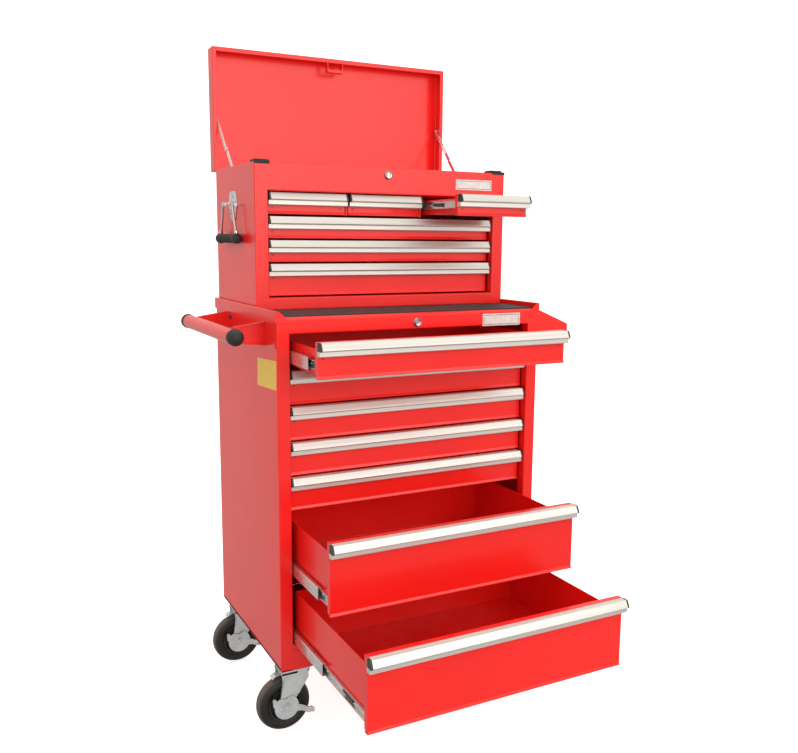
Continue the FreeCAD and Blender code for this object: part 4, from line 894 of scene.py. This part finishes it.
def push_bar():
    low, high = node_box("push_handle")
    tube_x = low.x + 16.5
    tube_z = 919
    arms = (79, 352)
    frame_piece = Shape()
    wall = -HALF
    folded(frame_piece, [(wall, low.z + 0.2), (wall - 2, low.z + 0.2), (wall - 2, high.z - 0.2),
                         (wall, high.z - 0.2)], -1.98, 0.8, "y", 6, 425)
    for number, start in enumerate(arms):
        outline = rounded([(wall - 1.9, low.z + 0.5), (wall - 1.9, high.z - 0.5), (tube_x, tube_z + 16.4),
                           (tube_x, tube_z - 16.4)], [4, 4, 0, 0])
        prism(frame_piece, outline, "y", start, start + 2)
        outward = -1 if number == 0 else 1
        edge = start if number == 0 else start + 2
        for a, b in (((wall - 4, high.z - 1.5), (tube_x + 8, tube_z + 17.4)),
                     ((wall - 4, low.z + 1.5), (tube_x + 8, tube_z - 17.4))):
            over = 1 if b[1] > tube_z else -1
            strip = [(a[0], a[1]), (b[0], b[1]), (b[0], b[1] - over * 1.8), (a[0], a[1] - over * 1.8)]
            across = sorted((edge, edge + outward * 12))
            prism(frame_piece, strip, "y", *across)
    piece("push_bracket", frame_piece, "cabinet", RED, ["push_handle"], 0.4)

    tube = Shape()
    turned(tube, [(14.7, 30), (16.5, 30.3), (16.5, 428), (14.7, 428.3)], (tube_x, 0, tube_z), "y", 48)
    piece("push_tube", tube, "cabinet", RED, smooth=40)

    caps = Shape()
    for start, way in ((28, -1), (430, 1)):
        profile = [(14.4, -14), (16.9, -13.4), (17.6, -10), (18, 0)]
        for step in range(1, 8):
            angle = step * math.pi / 14
            profile.append((max(18 * math.cos(angle), 0.01), 16.5 * math.sin(angle)))
        turned(caps, [(r, start + way * a) for r, a in profile], (tube_x, 0, tube_z), "y", 40)
    piece("push_tube_caps", caps, "cabinet", RUBBER, smooth=40)

    screws = Shape()
    for along in (arms[0] + 24, arms[1] - 24):
        for height in (low.z + 14, high.z - 12):
            screw_head(screws, (wall - 2, along, height), "x", 5.6, 3.6, -1)
    piece("push_screws", screws, "cabinet", PLASTIC, smooth=40)


def tray():
    low, high = node_box("side_tray")
    walls = Shape()
    inner_top = high.z - 10
    start, end = low.y, high.y
    outer_top = 920
    folded(walls, [(low.x + 0.05, inner_top - 0.2), (low.x + 0.05, low.z), (high.x, low.z),
                   (high.x, outer_top)], SHEET, BEND, "y", start + 0.2, end - 0.2)
    hem = [(high.x - 1.1, outer_top - 7), (high.x - 1.1, outer_top - 0.6),
           (high.x - 0.1, outer_top - 0.6), (high.x - 0.1, outer_top - 7)]
    folded(walls, hem, -0.5, 0.5, "y", start + 2, end - 2)
    outline = [(low.x, low.z), (high.x, low.z), (high.x, outer_top), (low.x + 3.5, high.z),
               (low.x + 3.5, inner_top), (low.x, inner_top)]
    for along in (start, end - SHEET):
        prism(walls, rounded(outline, [1, 4, 3, 2, 0.5, 0.5]), "y", along, along + SHEET)
    slope = [(low.x + 6, high.z - 2.0), (high.x - 1.5, outer_top + 0.4), (high.x - 1.5, outer_top - 1.0),
             (low.x + 6, high.z - 3.4)]
    prism(walls, slope, "y", start + SHEET, start + 9)
    prism(walls, slope, "y", end - 9, end - SHEET)
    piece("side_tray_body", walls, "cabinet", RED, ["side_tray"], EDGE)

    screws = Shape()
    for along in (start + 40, end - 40):
        screw_head(screws, (low.x + SHEET + 0.1, along, inner_top - 15), "x", 4.6, 2.8)
    piece("side_tray_screws", screws, "cabinet", STEEL, smooth=40)


# ---------------------------------------------------------------- drawers

LIP_HEIGHT = 7
LIP_FLARE = 3
RECESS = 21          # the fronts stand this far behind the posts
SETBACK = 16         # the slides start this far behind the fronts
CABINET_BOX_DEPTH = 400
CHEST_BOX_DEPTH = 262
floating_low, floating_high = node_box("cabinet_drawer_1_slides")
SLIDE_MIDDLE = floating_high.z - floating_low.z
SLIDE_OUTER = SLIDE_MIDDLE + 7
SLIDE_INNER = SLIDE_MIDDLE - 10


def grip_section(face, top):
    """The outline of the aluminium grip: grooved top, slanted nose, and a foot below."""
    line = [(face, top)]
    for number in range(4):
        start = face - 1.6 - number * 3.0
        line += [(start, top), (start - 0.35, top - 0.45), (start - 0.9, top - 0.45), (start - 1.25, top)]
    line += [(face - 13.6, top), (face - 14.6, top - 0.8), (face - 20.6, top - 13.2),
             (face - 21, top - 14.5), (face - 20.5, top - 15.9), (face - 19.0, top - 16.6),
             (face - 16.4, top - 16.9), (face - 15.2, top - 17.8), (face - 15, top - 19),
             (face - 15, top - 26.6), (face - 13.8, top - 28), (face, top - 28)]
    return line


def drawer_front(shape, left, right, face, low, high):
    """Front skin with its flared bottom lip, top return and side returns."""
    folded(shape, [(face + 14, high), (face, high), (face, low + LIP_HEIGHT), (face - LIP_FLARE, low + 0.2),
                   (face + 13, low + 0.2)], PAN_SHEET, [0, 1.8, 1.0, 1.2, 0], "x", left, right)
    for edge, way in ((left, 1), (right, -1)):
        side = sorted((edge, edge + way * PAN_SHEET))
        outline = [(face + 0.6, low + LIP_HEIGHT - 1), (face + 13, low + 4), (face + 13, high - 0.8),
                   (face + 0.8, high - 0.8)]
        prism(shape, rounded(outline, [1, 4, 3, 1]), "x", *side)


def drawer_box(shape, low, high):
    vessel(shape, (low.x, low.y), (high.x, high.y), wall_profile(PAN_SHEET, 1.6, high.z - low.z, 0.9),
           lambda u, v, w: (u, v, low.z + w), 1.6, steps=3)


def channel(shape, web, way, middle, height, depth, lip, wall, start, end):
    """A slide member: web, flanges and curled lips; it opens towards way (+1 or -1)."""
    half = height / 2
    edge = web + way * depth
    path = [(edge, middle + half - lip), (edge, middle + half), (web, middle + half), (web, middle - half),
            (edge, middle - half), (edge, middle - half + lip)]
    if lip == 0:
        path = path[1:-1]
    folded(shape, path, wall * way, min(1.8, depth / 3), "y", start, end, steps=3)


def slide_members(label, body, member_body, box_low, box_high, middle, start):
    """Inner members on the drawer, and the floating members with their ball cages."""
    length = box_high.y - start
    inner = Shape()
    clips = Shape()
    for side in (-1, 1):
        web = box_high.x if side > 0 else box_low.x
        channel(inner, web, side, middle, SLIDE_INNER, 6.6, 0, 1.2, start, start + length)
        holes = []
        along = start + 24
        while along < start + length - 30:
            holes.append(slot_hole((along, middle), 13, 5.4))
            along += 62
        band = SLIDE_INNER / 2 - 2.6
        plate = rectangle(start + 4, middle - band, start + length - 4, middle + band)
        across = sorted((web + side * 1.2, web + side * 1.5))
        prism(inner, plate, "x", *across, holes=holes)
        for along in (start + 40, start + length / 2, start + length - 60):
            rivet(inner, (web + side * 1.5, along, middle), "x", 3.4, 1.6, side)
        across = sorted((web + side * 1.6, web + side * 4.4))
        prism(clips, rounded([(start + 62, middle - 5), (start + 104, middle - 3), (start + 112, middle),
                              (start + 104, middle + 3.4), (start + 62, middle + 4)], 1.4), "x", *across)
    piece(label + "_slide_inner", inner, body, STEEL, bevel=0.2)
    piece(label + "_slide_levers", clips, body, PLASTIC, bevel=0.4)
    if member_body is None:
        return
    low, high = node_box(label + "_slides")
    floating = Shape()
    cages = Shape()
    for side in (-1, 1):
        web = high.x if side > 0 else low.x
        channel(floating, web, -side, middle, SLIDE_MIDDLE, 7.8, 2.4, 1.2, low.y, high.y)
        for end in (low.y + 14, high.y - 22):
            across = sorted((web - side * 0.1, web - side * 2.4))
            prism(floating, rounded(rectangle(end, middle - 4, end + 8, middle + 4), 1.5), "x", *across)
        for level in (-1, 1):
            height = middle + level * (SLIDE_INNER / 2 + 1.9)
            ball_x = web - side * 4.4
            block(cages, (ball_x - 1.2, low.y + 6, height - 0.4), (ball_x + 1.2, low.y + 96, height + 0.4))
            for number in range(8):
                along = low.y + 12 + number * 11
                turned(cages, [(0.01, -1.7), (1.2, -1.2), (1.7, 0), (1.2, 1.2), (0.01, 1.7)],
                       (ball_x, along, height), "z", 8)
    piece(label + "_slide_floating", floating, member_body, STEEL, [label + "_slides"], bevel=0.2)
    piece(label + "_slide_balls", cages, member_body, BALLS, smooth=60)


def outer_members(all_drawers):
    shape = Shape()
    for low, high, middle, shut_start, length in all_drawers:
        centre = (low.x + high.x) / 2
        half = (high.x - low.x) / 2
        for side in (-1, 1):
            web = centre + side * (half + 13.6)
            channel(shape, web, -side, middle, SLIDE_OUTER, 8.3, 3.0, 1.2, shut_start, shut_start + length)
            for along in (shut_start + 12, shut_start + length - 24):
                across = sorted((web - side * 1.2, web - side * 2.0))
                prism(shape, rounded(rectangle(along, middle - 6, along + 10, middle + 6), 2), "x", *across)
    piece("slide_outer_channels", shape, "cabinet", STEEL, ["slide_outer_members"], bevel=0.2)


def drawer(label, side_drop, depth, with_members):
    """One drawer; its slides' place is returned for the fixed members in the body."""
    low, high = node_box(label + "_box")
    grip_low, grip_high = node_box(label + "_handle")
    face = grip_high.y
    front_low = low.z
    front_high = high.z
    half = (high.x - low.x) / 2
    centre = (high.x + low.x) / 2
    box_half = half - 9.6 if half > 150 else half - 10
    box_low = Vector((centre - box_half, face + PAN_SHEET, front_low + 5))
    box_high = Vector((centre + box_half, face + PAN_SHEET + depth, front_high - side_drop))
    body = Shape()
    drawer_front(body, low.x, high.x, face, front_low, front_high)
    drawer_box(body, box_low, box_high)
    piece(label + "_pan", body, label, RED, [label + "_box"], bevel=0.22, smooth=42)

    grip = Shape()
    prism(grip, grip_section(face, front_high), "x", grip_low.x + 0.6, grip_high.x - 0.6)
    piece(label + "_grip", grip, label, GRIP, [label + "_handle"], bevel=0.15, smooth=30)
    ends = Shape()
    for edge, way in ((grip_low.x, 1), (grip_high.x, -1)):
        section = [(face - 13.0, front_high + 0.35), (face - 14.9, front_high - 0.4),
                   (face - 21.0, front_high - 13.0), (face - 21.0, front_high - 15.6),
                   (face - 18.6, front_high - 17.2), (face - 2, front_high - 17.2),
                   (face - 2, front_high + 0.35)]
        across = sorted((edge, edge + way * 4.5))
        prism(ends, section, "x", *across)
    piece(label + "_grip_ends", ends, label, PLASTIC, bevel=0.4)
    screws = Shape()
    for along in (low.x + 12, high.x - 12):
        rivet(screws, (along, face, front_high - 28 - 5), "y", 1.7, 0.8, -1)
    piece(label + "_front_screws", screws, label, PLASTIC, smooth=40)

    middle = front_low + 27
    start = face + SETBACK
    member_body = label + "_members" if with_members else None
    slide_members(label, label, member_body, box_low, box_high, middle, start)
    return box_low, box_high, middle, depth - SETBACK


def drawers():
    """Seven drawers in the cabinet, then three small and three wide ones in the chest."""
    rows = []
    for number in range(1, 8):
        side_drop = 27 if number > 5 else 16.5
        rows.append((f"cabinet_drawer_{number}", 0, side_drop, CABINET_BOX_DEPTH, True))
    for number in (1, 2, 3):
        rows.append((f"chest_small_drawer_{number}", CHEST_FRONT, 8, CHEST_BOX_DEPTH, False))
    for number in (1, 2, 3):
        side_drop = 18 if number == 3 else 8
        rows.append((f"chest_drawer_{number}", CHEST_FRONT, side_drop, CHEST_BOX_DEPTH, True))
    found = []
    for label, plane, side_drop, depth, with_members in rows:
        low, high, middle, length = drawer(label, side_drop, depth, with_members)
        found.append((low, high, middle, plane + RECESS + SETBACK, length))
    outer_members(found)


# ---------------------------------------------------------------- casters

CASTER_X = 278
CASTER_TRAIL = 35    # the swivel casters' axles lie this far aside of their kingpins
CASTER_PLATE = 3
FORK_TOP = 149
FORK_GAP = 22        # from the middle of a fork to the inside of its leg
FORK_SHEET = 3


def tyre_and_hub(label):
    low, high = node_box(label)
    centre = ((low.x + high.x) / 2, (low.y + high.y) / 2, (low.z + high.z) / 2)
    radius = (high.z - low.z) / 2
    half = 19
    tyre = Shape()
    side = [(39, -half + 4), (40.5, -half + 2.6), (43, -half + 1.4), (46.5, -half + 0.4), (50, -half),
            (53.5, -half + 0.5), (56.6, -half + 2.2), (59.2, -half + 4.8), (61.2, -half + 8.2),
            (62.6, -half + 12.2), (radius - 0.15, -half + 16)]
    seam = [(radius, -0.6), (radius - 0.35, 0), (radius, 0.6)]
    profile = side + seam + [(r, -a) for r, a in reversed(side)]
    hollow_turned(tyre, profile, centre, "y", 72)
    piece(label + "_tyre", tyre, label, TYRE, smooth=30)
    hub = Shape()
    face = [(5.1, -20), (10.5, -20), (12, -19), (13, -12), (18, -9), (31, -8), (34, -10), (35.5, -half + 2.4),
            (39.3, -half + 2.2)]
    profile = face + [(39.3, 0)] + [(r, -a) for r, a in reversed(face)]
    hollow_turned(hub, profile, centre, "y", 60)
    for number in range(6):
        angle = number * math.pi / 3
        for level in (-1, 1):
            along = sorted((level * 7.5, level * 14))
            ray = Vector((math.cos(angle), math.sin(angle)))
            across = Vector((-ray.y, ray.x))
            corners = [ray * 12 + across * 2.2, ray * 35 + across * 1.6, ray * 35 - across * 1.6,
                       ray * 12 - across * 2.2]
            prism(hub, [(centre[0] + c.x, centre[2] + c.y) for c in corners], "y",
                  centre[1] + along[0], centre[1] + along[1])
    piece(label + "_hub", hub, label, HUB, [label], smooth=30)


def fork_side(shape, axle_x, top_x, axle_z, top_z, start, thickness, flange):
    """A pressed fork leg with flanges along its two long edges."""
    outline = rounded([(top_x - 34, top_z), (top_x + 34, top_z), (top_x + 30, top_z - 22),
                       (axle_x + 16, axle_z + 6), (axle_x + 12, axle_z - 13), (axle_x - 12, axle_z - 13),
                       (axle_x - 16, axle_z + 6), (top_x - 32, top_z - 24)], [2, 2, 20, 10, 12, 12, 10, 20])
    prism(shape, outline, "y", start, start + thickness, [circle((axle_x, axle_z), 5.2, 20)])
    outer = start if flange < 0 else start + thickness
    for sign in (-1, 1):
        edge_top = Vector((top_x + sign * 31, top_z - 20))
        edge_low = Vector((axle_x + sign * 16.5, axle_z + 12))
        way = (edge_low - edge_top).normalized()
        normal = Vector((-way.y, way.x)) * (2.4 if sign > 0 else -2.4)
        strip = [edge_top, edge_low, edge_low - normal, edge_top - normal]
        along = sorted((outer - flange * 0.5, outer + flange * 4.5))
        prism(shape, strip, "y", *along)


def bolt_end(shape, centre, axis, radius, proud, away):
    """A hexagon nut with a washer under it and the bolt's end standing out."""
    x, y, z = centre
    turned(shape, [(radius * 1.35, 0), (radius * 1.35, away * 1.6), (0, away * 1.6)], centre, axis, 28)
    nut = circle((0, 0), radius, 6)
    levels = sorted((away * 1.6, away * (1.6 + proud)))
    flat = {"y": (x, z, y), "z": (x, y, z)}[axis]
    prism(shape, [(flat[0] + u, flat[1] + v) for u, v in nut], axis, flat[2] + levels[0], flat[2] + levels[1])
    tip = away * (proud + 3.8)
    turned(shape, [(radius * 0.5, 0), (radius * 0.5, away * (proud + 3.2)), (radius * 0.4, tip), (0, tip)],
           centre, axis, 16)


def fork_apron(shape, king_x, king_y, top_z):
    """The formed wall that joins a swivel fork's two legs ahead of the wheel, rounded at both corners."""
    near = 25.8
    ahead = king_x + 33
    drop = 58
    rings = []
    for step in range(7):
        share = step / 6
        front = ahead - 26 * share
        start = king_x - 6 - 12 * share
        left = king_y - near
        right = king_y + near
        path = [(start, left), (front, left), (front, right), (start, right)]
        outer = rounded(path, 17, closed=False, steps=8)
        ring = []
        for point in outer + offset(outer, 2.6)[::-1]:
            aside = min(abs(point.y - king_y) / near, 1)
            ring.append((point.x, point.y, top_z - 1 - share * drop * (0.3 + 0.7 * aside ** 3)))
        rings.append(ring)
    bridged(shape, rings)


def caster_fork(shape, king, axle, top_z):
    """Two legs joined by a domed crown, with the wheel's axle bolt."""
    king_x, king_y = king
    axle_x, axle_z = axle
    top_x = king_x - (king_x - axle_x) / 3
    near = king_y - FORK_GAP - FORK_SHEET
    far = king_y + FORK_GAP + FORK_SHEET
    fork_side(shape, axle_x, top_x, axle_z, top_z, near, FORK_SHEET, -1)
    fork_side(shape, axle_x, top_x, axle_z, top_z, king_y + FORK_GAP, FORK_SHEET, 1)
    crown = [(near, top_z - 9), (near, top_z), (far, top_z), (far, top_z - 9)]
    folded(shape, crown, -FORK_SHEET, 5, "x", top_x - 34, top_x + 34)
    half = FORK_GAP + FORK_SHEET
    turned(shape, [(5, -half), (5, half)], (axle_x, king_y, axle_z), "y", 20)
    bolt_end(shape, (axle_x, far, axle_z), "y", 9, 6, 1)


def casters():
    plates = Shape()
    rigid = Shape()
    under = BASE - CASTER_PLATE
    ends = {}
    for end in ("front", "rear"):
        low, high = node_box(f"wheel_{end}_right")
        ends[end] = ((low.y + high.y) / 2, (low.z + high.z) / 2)
    for end, (king_y, axle_z) in ends.items():
        for side in (-1, 1):
            king_x = side * CASTER_X
            holes = []
            for sx in (-38, 38):
                for sy in (-25, 25):
                    holes.append(slot_hole((king_x + sx, king_y + sy), 14, 9))
                    bolt_end(plates, (king_x + sx, king_y + sy, under), "z", 6, 3, -1)
            outline = rounded(rectangle(king_x - 48, king_y - 34, king_x + 48, king_y + 34), 7)
            prism(plates, outline, "z", under, BASE - 0.02)
            if side < 0:
                turned(plates, [(26, 162), (33, 160), (34.5, 156), (34.5, 152.5), (31, 151.2), (0, 151.2)],
                       (king_x, king_y, 0), "z", 56)
                hollow_turned(plates, [(6.0, 142), (6.0, 151.5), (2, 151.5), (2, 142)],
                              (king_x, king_y, 0), "z", 24)
            else:
                caster_fork(rigid, (king_x, king_y), (king_x, axle_z), FORK_TOP)
                turned(rigid, [(24, 162), (25.5, 160), (28, 152), (31, FORK_TOP), (0, FORK_TOP)],
                       (king_x, king_y, 0), "z", 40)
    piece("caster_plates", plates, "cabinet", CAST, ["caster_mounts"], bevel=0.3)
    piece("caster_forks_rigid", rigid, "cabinet", CAST, bevel=0.45)

    for end, (king_y, axle_z) in ends.items():
        king_x = -CASTER_X
        axle_x = king_x - CASTER_TRAIL
        fork = Shape()
        caster_fork(fork, (king_x, king_y), (axle_x, axle_z), FORK_TOP)
        fork_apron(fork, king_x, king_y, FORK_TOP)
        race = [(0, FORK_TOP), (29, FORK_TOP), (30.5, 149.6), (30.5, 150.5), (0, 150.5)]
        turned(fork, race, (king_x, king_y, 0), "z", 48)
        brake_shoe(fork, axle_x, king_y)
        piece(f"swivel_fork_{end}_pressing", fork, "fork_" + end, CAST, [f"swivel_fork_{end}"], bevel=0.45)
        pedal(end, axle_x, king_y, axle_z)
    for end in ends:
        for hand in ("left", "right"):
            tyre_and_hub(f"wheel_{end}_{hand}")


def brake_shoe(shape, axle_x, king_y):
    """The sprung strap over the tyre that the pedal presses down."""
    strap = [(axle_x - 27, 127), (axle_x - 20, 133), (axle_x - 6, 135), (axle_x + 4, 140)]
    folded(shape, strap, 1.8, 7, "y", king_y - 9, king_y + 9)
    block(shape, (axle_x - 8, king_y - 24, 136), (axle_x + 4, king_y + 24, 139))


def pedal(end, axle_x, king_y, axle_z):
    """The side lock: a dished plate on the axle, with a hook and a foot tab."""
    rocker = Shape()
    near = king_y - FORK_GAP - FORK_SHEET - 1 - 2.5
    outline = []
    for step in range(41):
        angle = math.radians(128 + step * 272 / 40)
        outline.append((axle_x + 29 * math.cos(angle), axle_z + 29 * math.sin(angle)))
    outline += [(axle_x + 14, axle_z + 26), (axle_x - 2, axle_z + 20), (axle_x - 12, axle_z + 22)]
    prism(rocker, outline, "y", near, near + 2.5, [circle((axle_x, axle_z), 5.2, 20)])
    hook = rounded([(axle_x - 19, axle_z + 10), (axle_x - 33, axle_z + 6), (axle_x - 34, axle_z + 24),
                    (axle_x - 29, axle_z + 28), (axle_x - 22, axle_z + 18)], [2, 3, 3, 3, 2])
    prism(rocker, hook, "y", near - 3, near + 2.4)
    arm = [(axle_x + 12, near - 0.5), (axle_x + 34, near - 1.5), (axle_x + 44, near - 12),
           (axle_x + 61, near - 16)]
    flat = rounded(arm, [0, 6, 8, 0], closed=False, steps=5)
    back = offset(flat, 2.4)
    rings = []
    for one, two in zip(flat, back):
        share = (one.x - axle_x - 12) / 49
        height = 9 - 3.5 * share
        level = axle_z - 4 - 8 * share
        rings.append([(one.x, one.y, level - height), (two.x, two.y, level - height),
                      (two.x, two.y, level + height), (one.x, one.y, level + height)])
    bridged(rocker, rings)
    tab = rounded([(axle_x + 40, near - 20), (axle_x + 62, near - 20), (axle_x + 62, near + 1),
                   (axle_x + 46, near + 1)], [5, 6, 4, 3])
    prism(rocker, tab, "z", axle_z - 13.5, axle_z - 11)
    for u, v in ((-13, -3), (9, 10), (10, -17)):
        rivet(rocker, (axle_x + u, near, axle_z + v), "y", 3.2, 1.4, -1)
    bolt_end(rocker, (axle_x, near, axle_z), "y", 8, 4.5, -1)
    piece(f"brake_pedal_{end}_plate", rocker, "brake_" + end, CAST, [f"brake_pedal_{end}"], bevel=0.4)


# ---------------------------------------------------------------- badges

def labels():
    """Two blank badge plates with a thin printed border, and a plain sticker on the left side."""
    for name, front, left, right, low, high in (("cabinet", 0, 175, 281, 923, 952),
                                                ("chest", CHEST_FRONT, 186, 290, 1246, 1271)):
        plate = Shape()
        prism(plate, rounded(rectangle(left, low, right, high), 2), "y", front - 1.1, front)
        piece(f"badge_{name}_plate", plate, "cabinet", BADGE, bevel=0.3)
        frame_line = Shape()
        outer = rounded(rectangle(left + 3, low + 3, right - 3, high - 3), 1.5)
        inner = rounded(rectangle(left + 4, low + 4, right - 4, high - 4), 1)
        prism(frame_line, outer, "y", front - 1.25, front - 1.0, [inner])
        piece(f"badge_{name}_frame", frame_line, "cabinet", FRAME_INK)
    sticker = Shape()
    prism(sticker, rounded([(6, 805), (133, 798), (130, 861), (4, 868)], 2), "x", -HALF - 0.35, -HALF)
    piece("side_sticker", sticker, "cabinet", STICKER, bevel=0.1)


# ---------------------------------------------------------------- surroundings

SKY_LOW = 0.52
SKY_HIGH = 1.12
KEY_POWER = 32
FILL_POWER = 40
TOP_POWER = 8
WARM = (1.0, 0.965, 0.92)
CAMERA_PLACE = (-931.0, -1713.1, 1124.5)
CAMERA_TURNS = (0.477, 0.158, 0.008)     # yaw, pitch and roll
LENS = 38.887
SENSOR = 36


def studio():
    """A white sweep that neither lights the object nor shows in it, a graded sky and soft lamps."""
    scene = bpy.context.scene
    depth = 4.5
    rise = 1.2
    profile = [(-9.0, 0.0), (depth - rise, 0.0)]
    for step in range(1, 9):
        angle = step * math.pi / 16
        profile.append((depth - rise + rise * math.sin(angle), rise - rise * math.cos(angle)))
    profile.append((depth, 9.0))
    reach = 14.0
    points = [(side * reach, y, z) for y, z in profile for side in (-1, 1)]
    faces = [(2 * i, 2 * i + 1, 2 * i + 3, 2 * i + 2) for i in range(len(profile) - 1)]
    mesh = bpy.data.meshes.new("studio_sweep")
    mesh.from_pydata(points, [], faces)
    for face in mesh.polygons:
        face.use_smooth = True
    sweep = bpy.data.objects.new("studio_sweep", mesh)
    scene.collection.objects.link(sweep)
    finish = Finish("studio_white_paper", Roughness=1.0, Emission_Strength=0.72)
    finish.shader.inputs["Emission Color"].default_value = (1, 1, 1, 1)
    finish.set("Base Color", finish.mixed(finish.noise(0.8), (0.88, 0.88, 0.87), (0.92, 0.92, 0.91)))
    mesh.materials.append(finish.material)
    sweep.visible_diffuse = False
    sweep.visible_glossy = False

    world = bpy.data.worlds.new("studio_sky")
    world.use_nodes = True
    tree = world.node_tree
    direction = tree.nodes.new("ShaderNodeTexCoord").outputs["Generated"]
    parts = tree.nodes.new("ShaderNodeSeparateXYZ")
    tree.links.new(direction, parts.inputs[0])
    graded = tree.nodes.new("ShaderNodeMapRange")
    for socket, number in (("From Min", -0.6), ("From Max", 0.8), ("To Min", SKY_LOW), ("To Max", SKY_HIGH)):
        graded.inputs[socket].default_value = number
    tree.links.new(parts.outputs["Z"], graded.inputs["Value"])
    tree.links.new(graded.outputs["Result"], tree.nodes["Background"].inputs["Strength"])
    tree.nodes["Background"].inputs["Color"].default_value = (*WARM, 1)
    scene.world = world

    def panel(name, place, aim, size, power):
        lamp = bpy.data.lights.new(name, "AREA")
        lamp.shape = "RECTANGLE"
        lamp.size, lamp.size_y = size
        lamp.energy = power
        lamp.color = WARM
        holder = bpy.data.objects.new(name, lamp)
        holder.location = place
        holder.rotation_euler = (Vector(aim) - Vector(place)).to_track_quat("-Z", "Y").to_euler()
        scene.collection.objects.link(holder)

    panel("key_panel", (1.3, -3.4, 2.1), (0, 0, 0.8), (2.4, 2.0), KEY_POWER)
    panel("front_fill", (-0.6, -3.8, 1.5), (0, 0, 0.6), (2.6, 1.8), FILL_POWER)
    panel("top_panel", (0, -0.6, 3.6), (0, 0, 0.6), (2.4, 2.0), TOP_POWER)


def camera():
    eye = at(*CAMERA_PLACE)
    yaw, pitch, roll = CAMERA_TURNS
    ahead = Vector((math.sin(yaw) * math.cos(pitch), math.cos(yaw) * math.cos(pitch), -math.sin(pitch)))
    right = Vector((math.cos(yaw), -math.sin(yaw), 0))
    up = right.cross(ahead)
    right_rolled = right * math.cos(roll) + up * math.sin(roll)
    up_rolled = up * math.cos(roll) - right * math.sin(roll)
    turn = Matrix((right_rolled, up_rolled, -ahead)).transposed()
    data = bpy.data.cameras.new("photo_view")
    data.lens = LENS
    data.sensor_width = SENSOR
    holder = bpy.data.objects.new("photo_view", data)
    holder.matrix_world = Matrix.Translation(eye) @ turn.to_4x4()
    bpy.context.scene.collection.objects.link(holder)
    bpy.context.scene.camera = holder


bpy.context.scene.view_settings.view_transform = "Standard"
camera()
studio()
cabinet_body()
worktop()
chest_shell()
lid_piece()
fittings()
bails()
stays()
push_bar()
tray()
drawers()
casters()
labels()
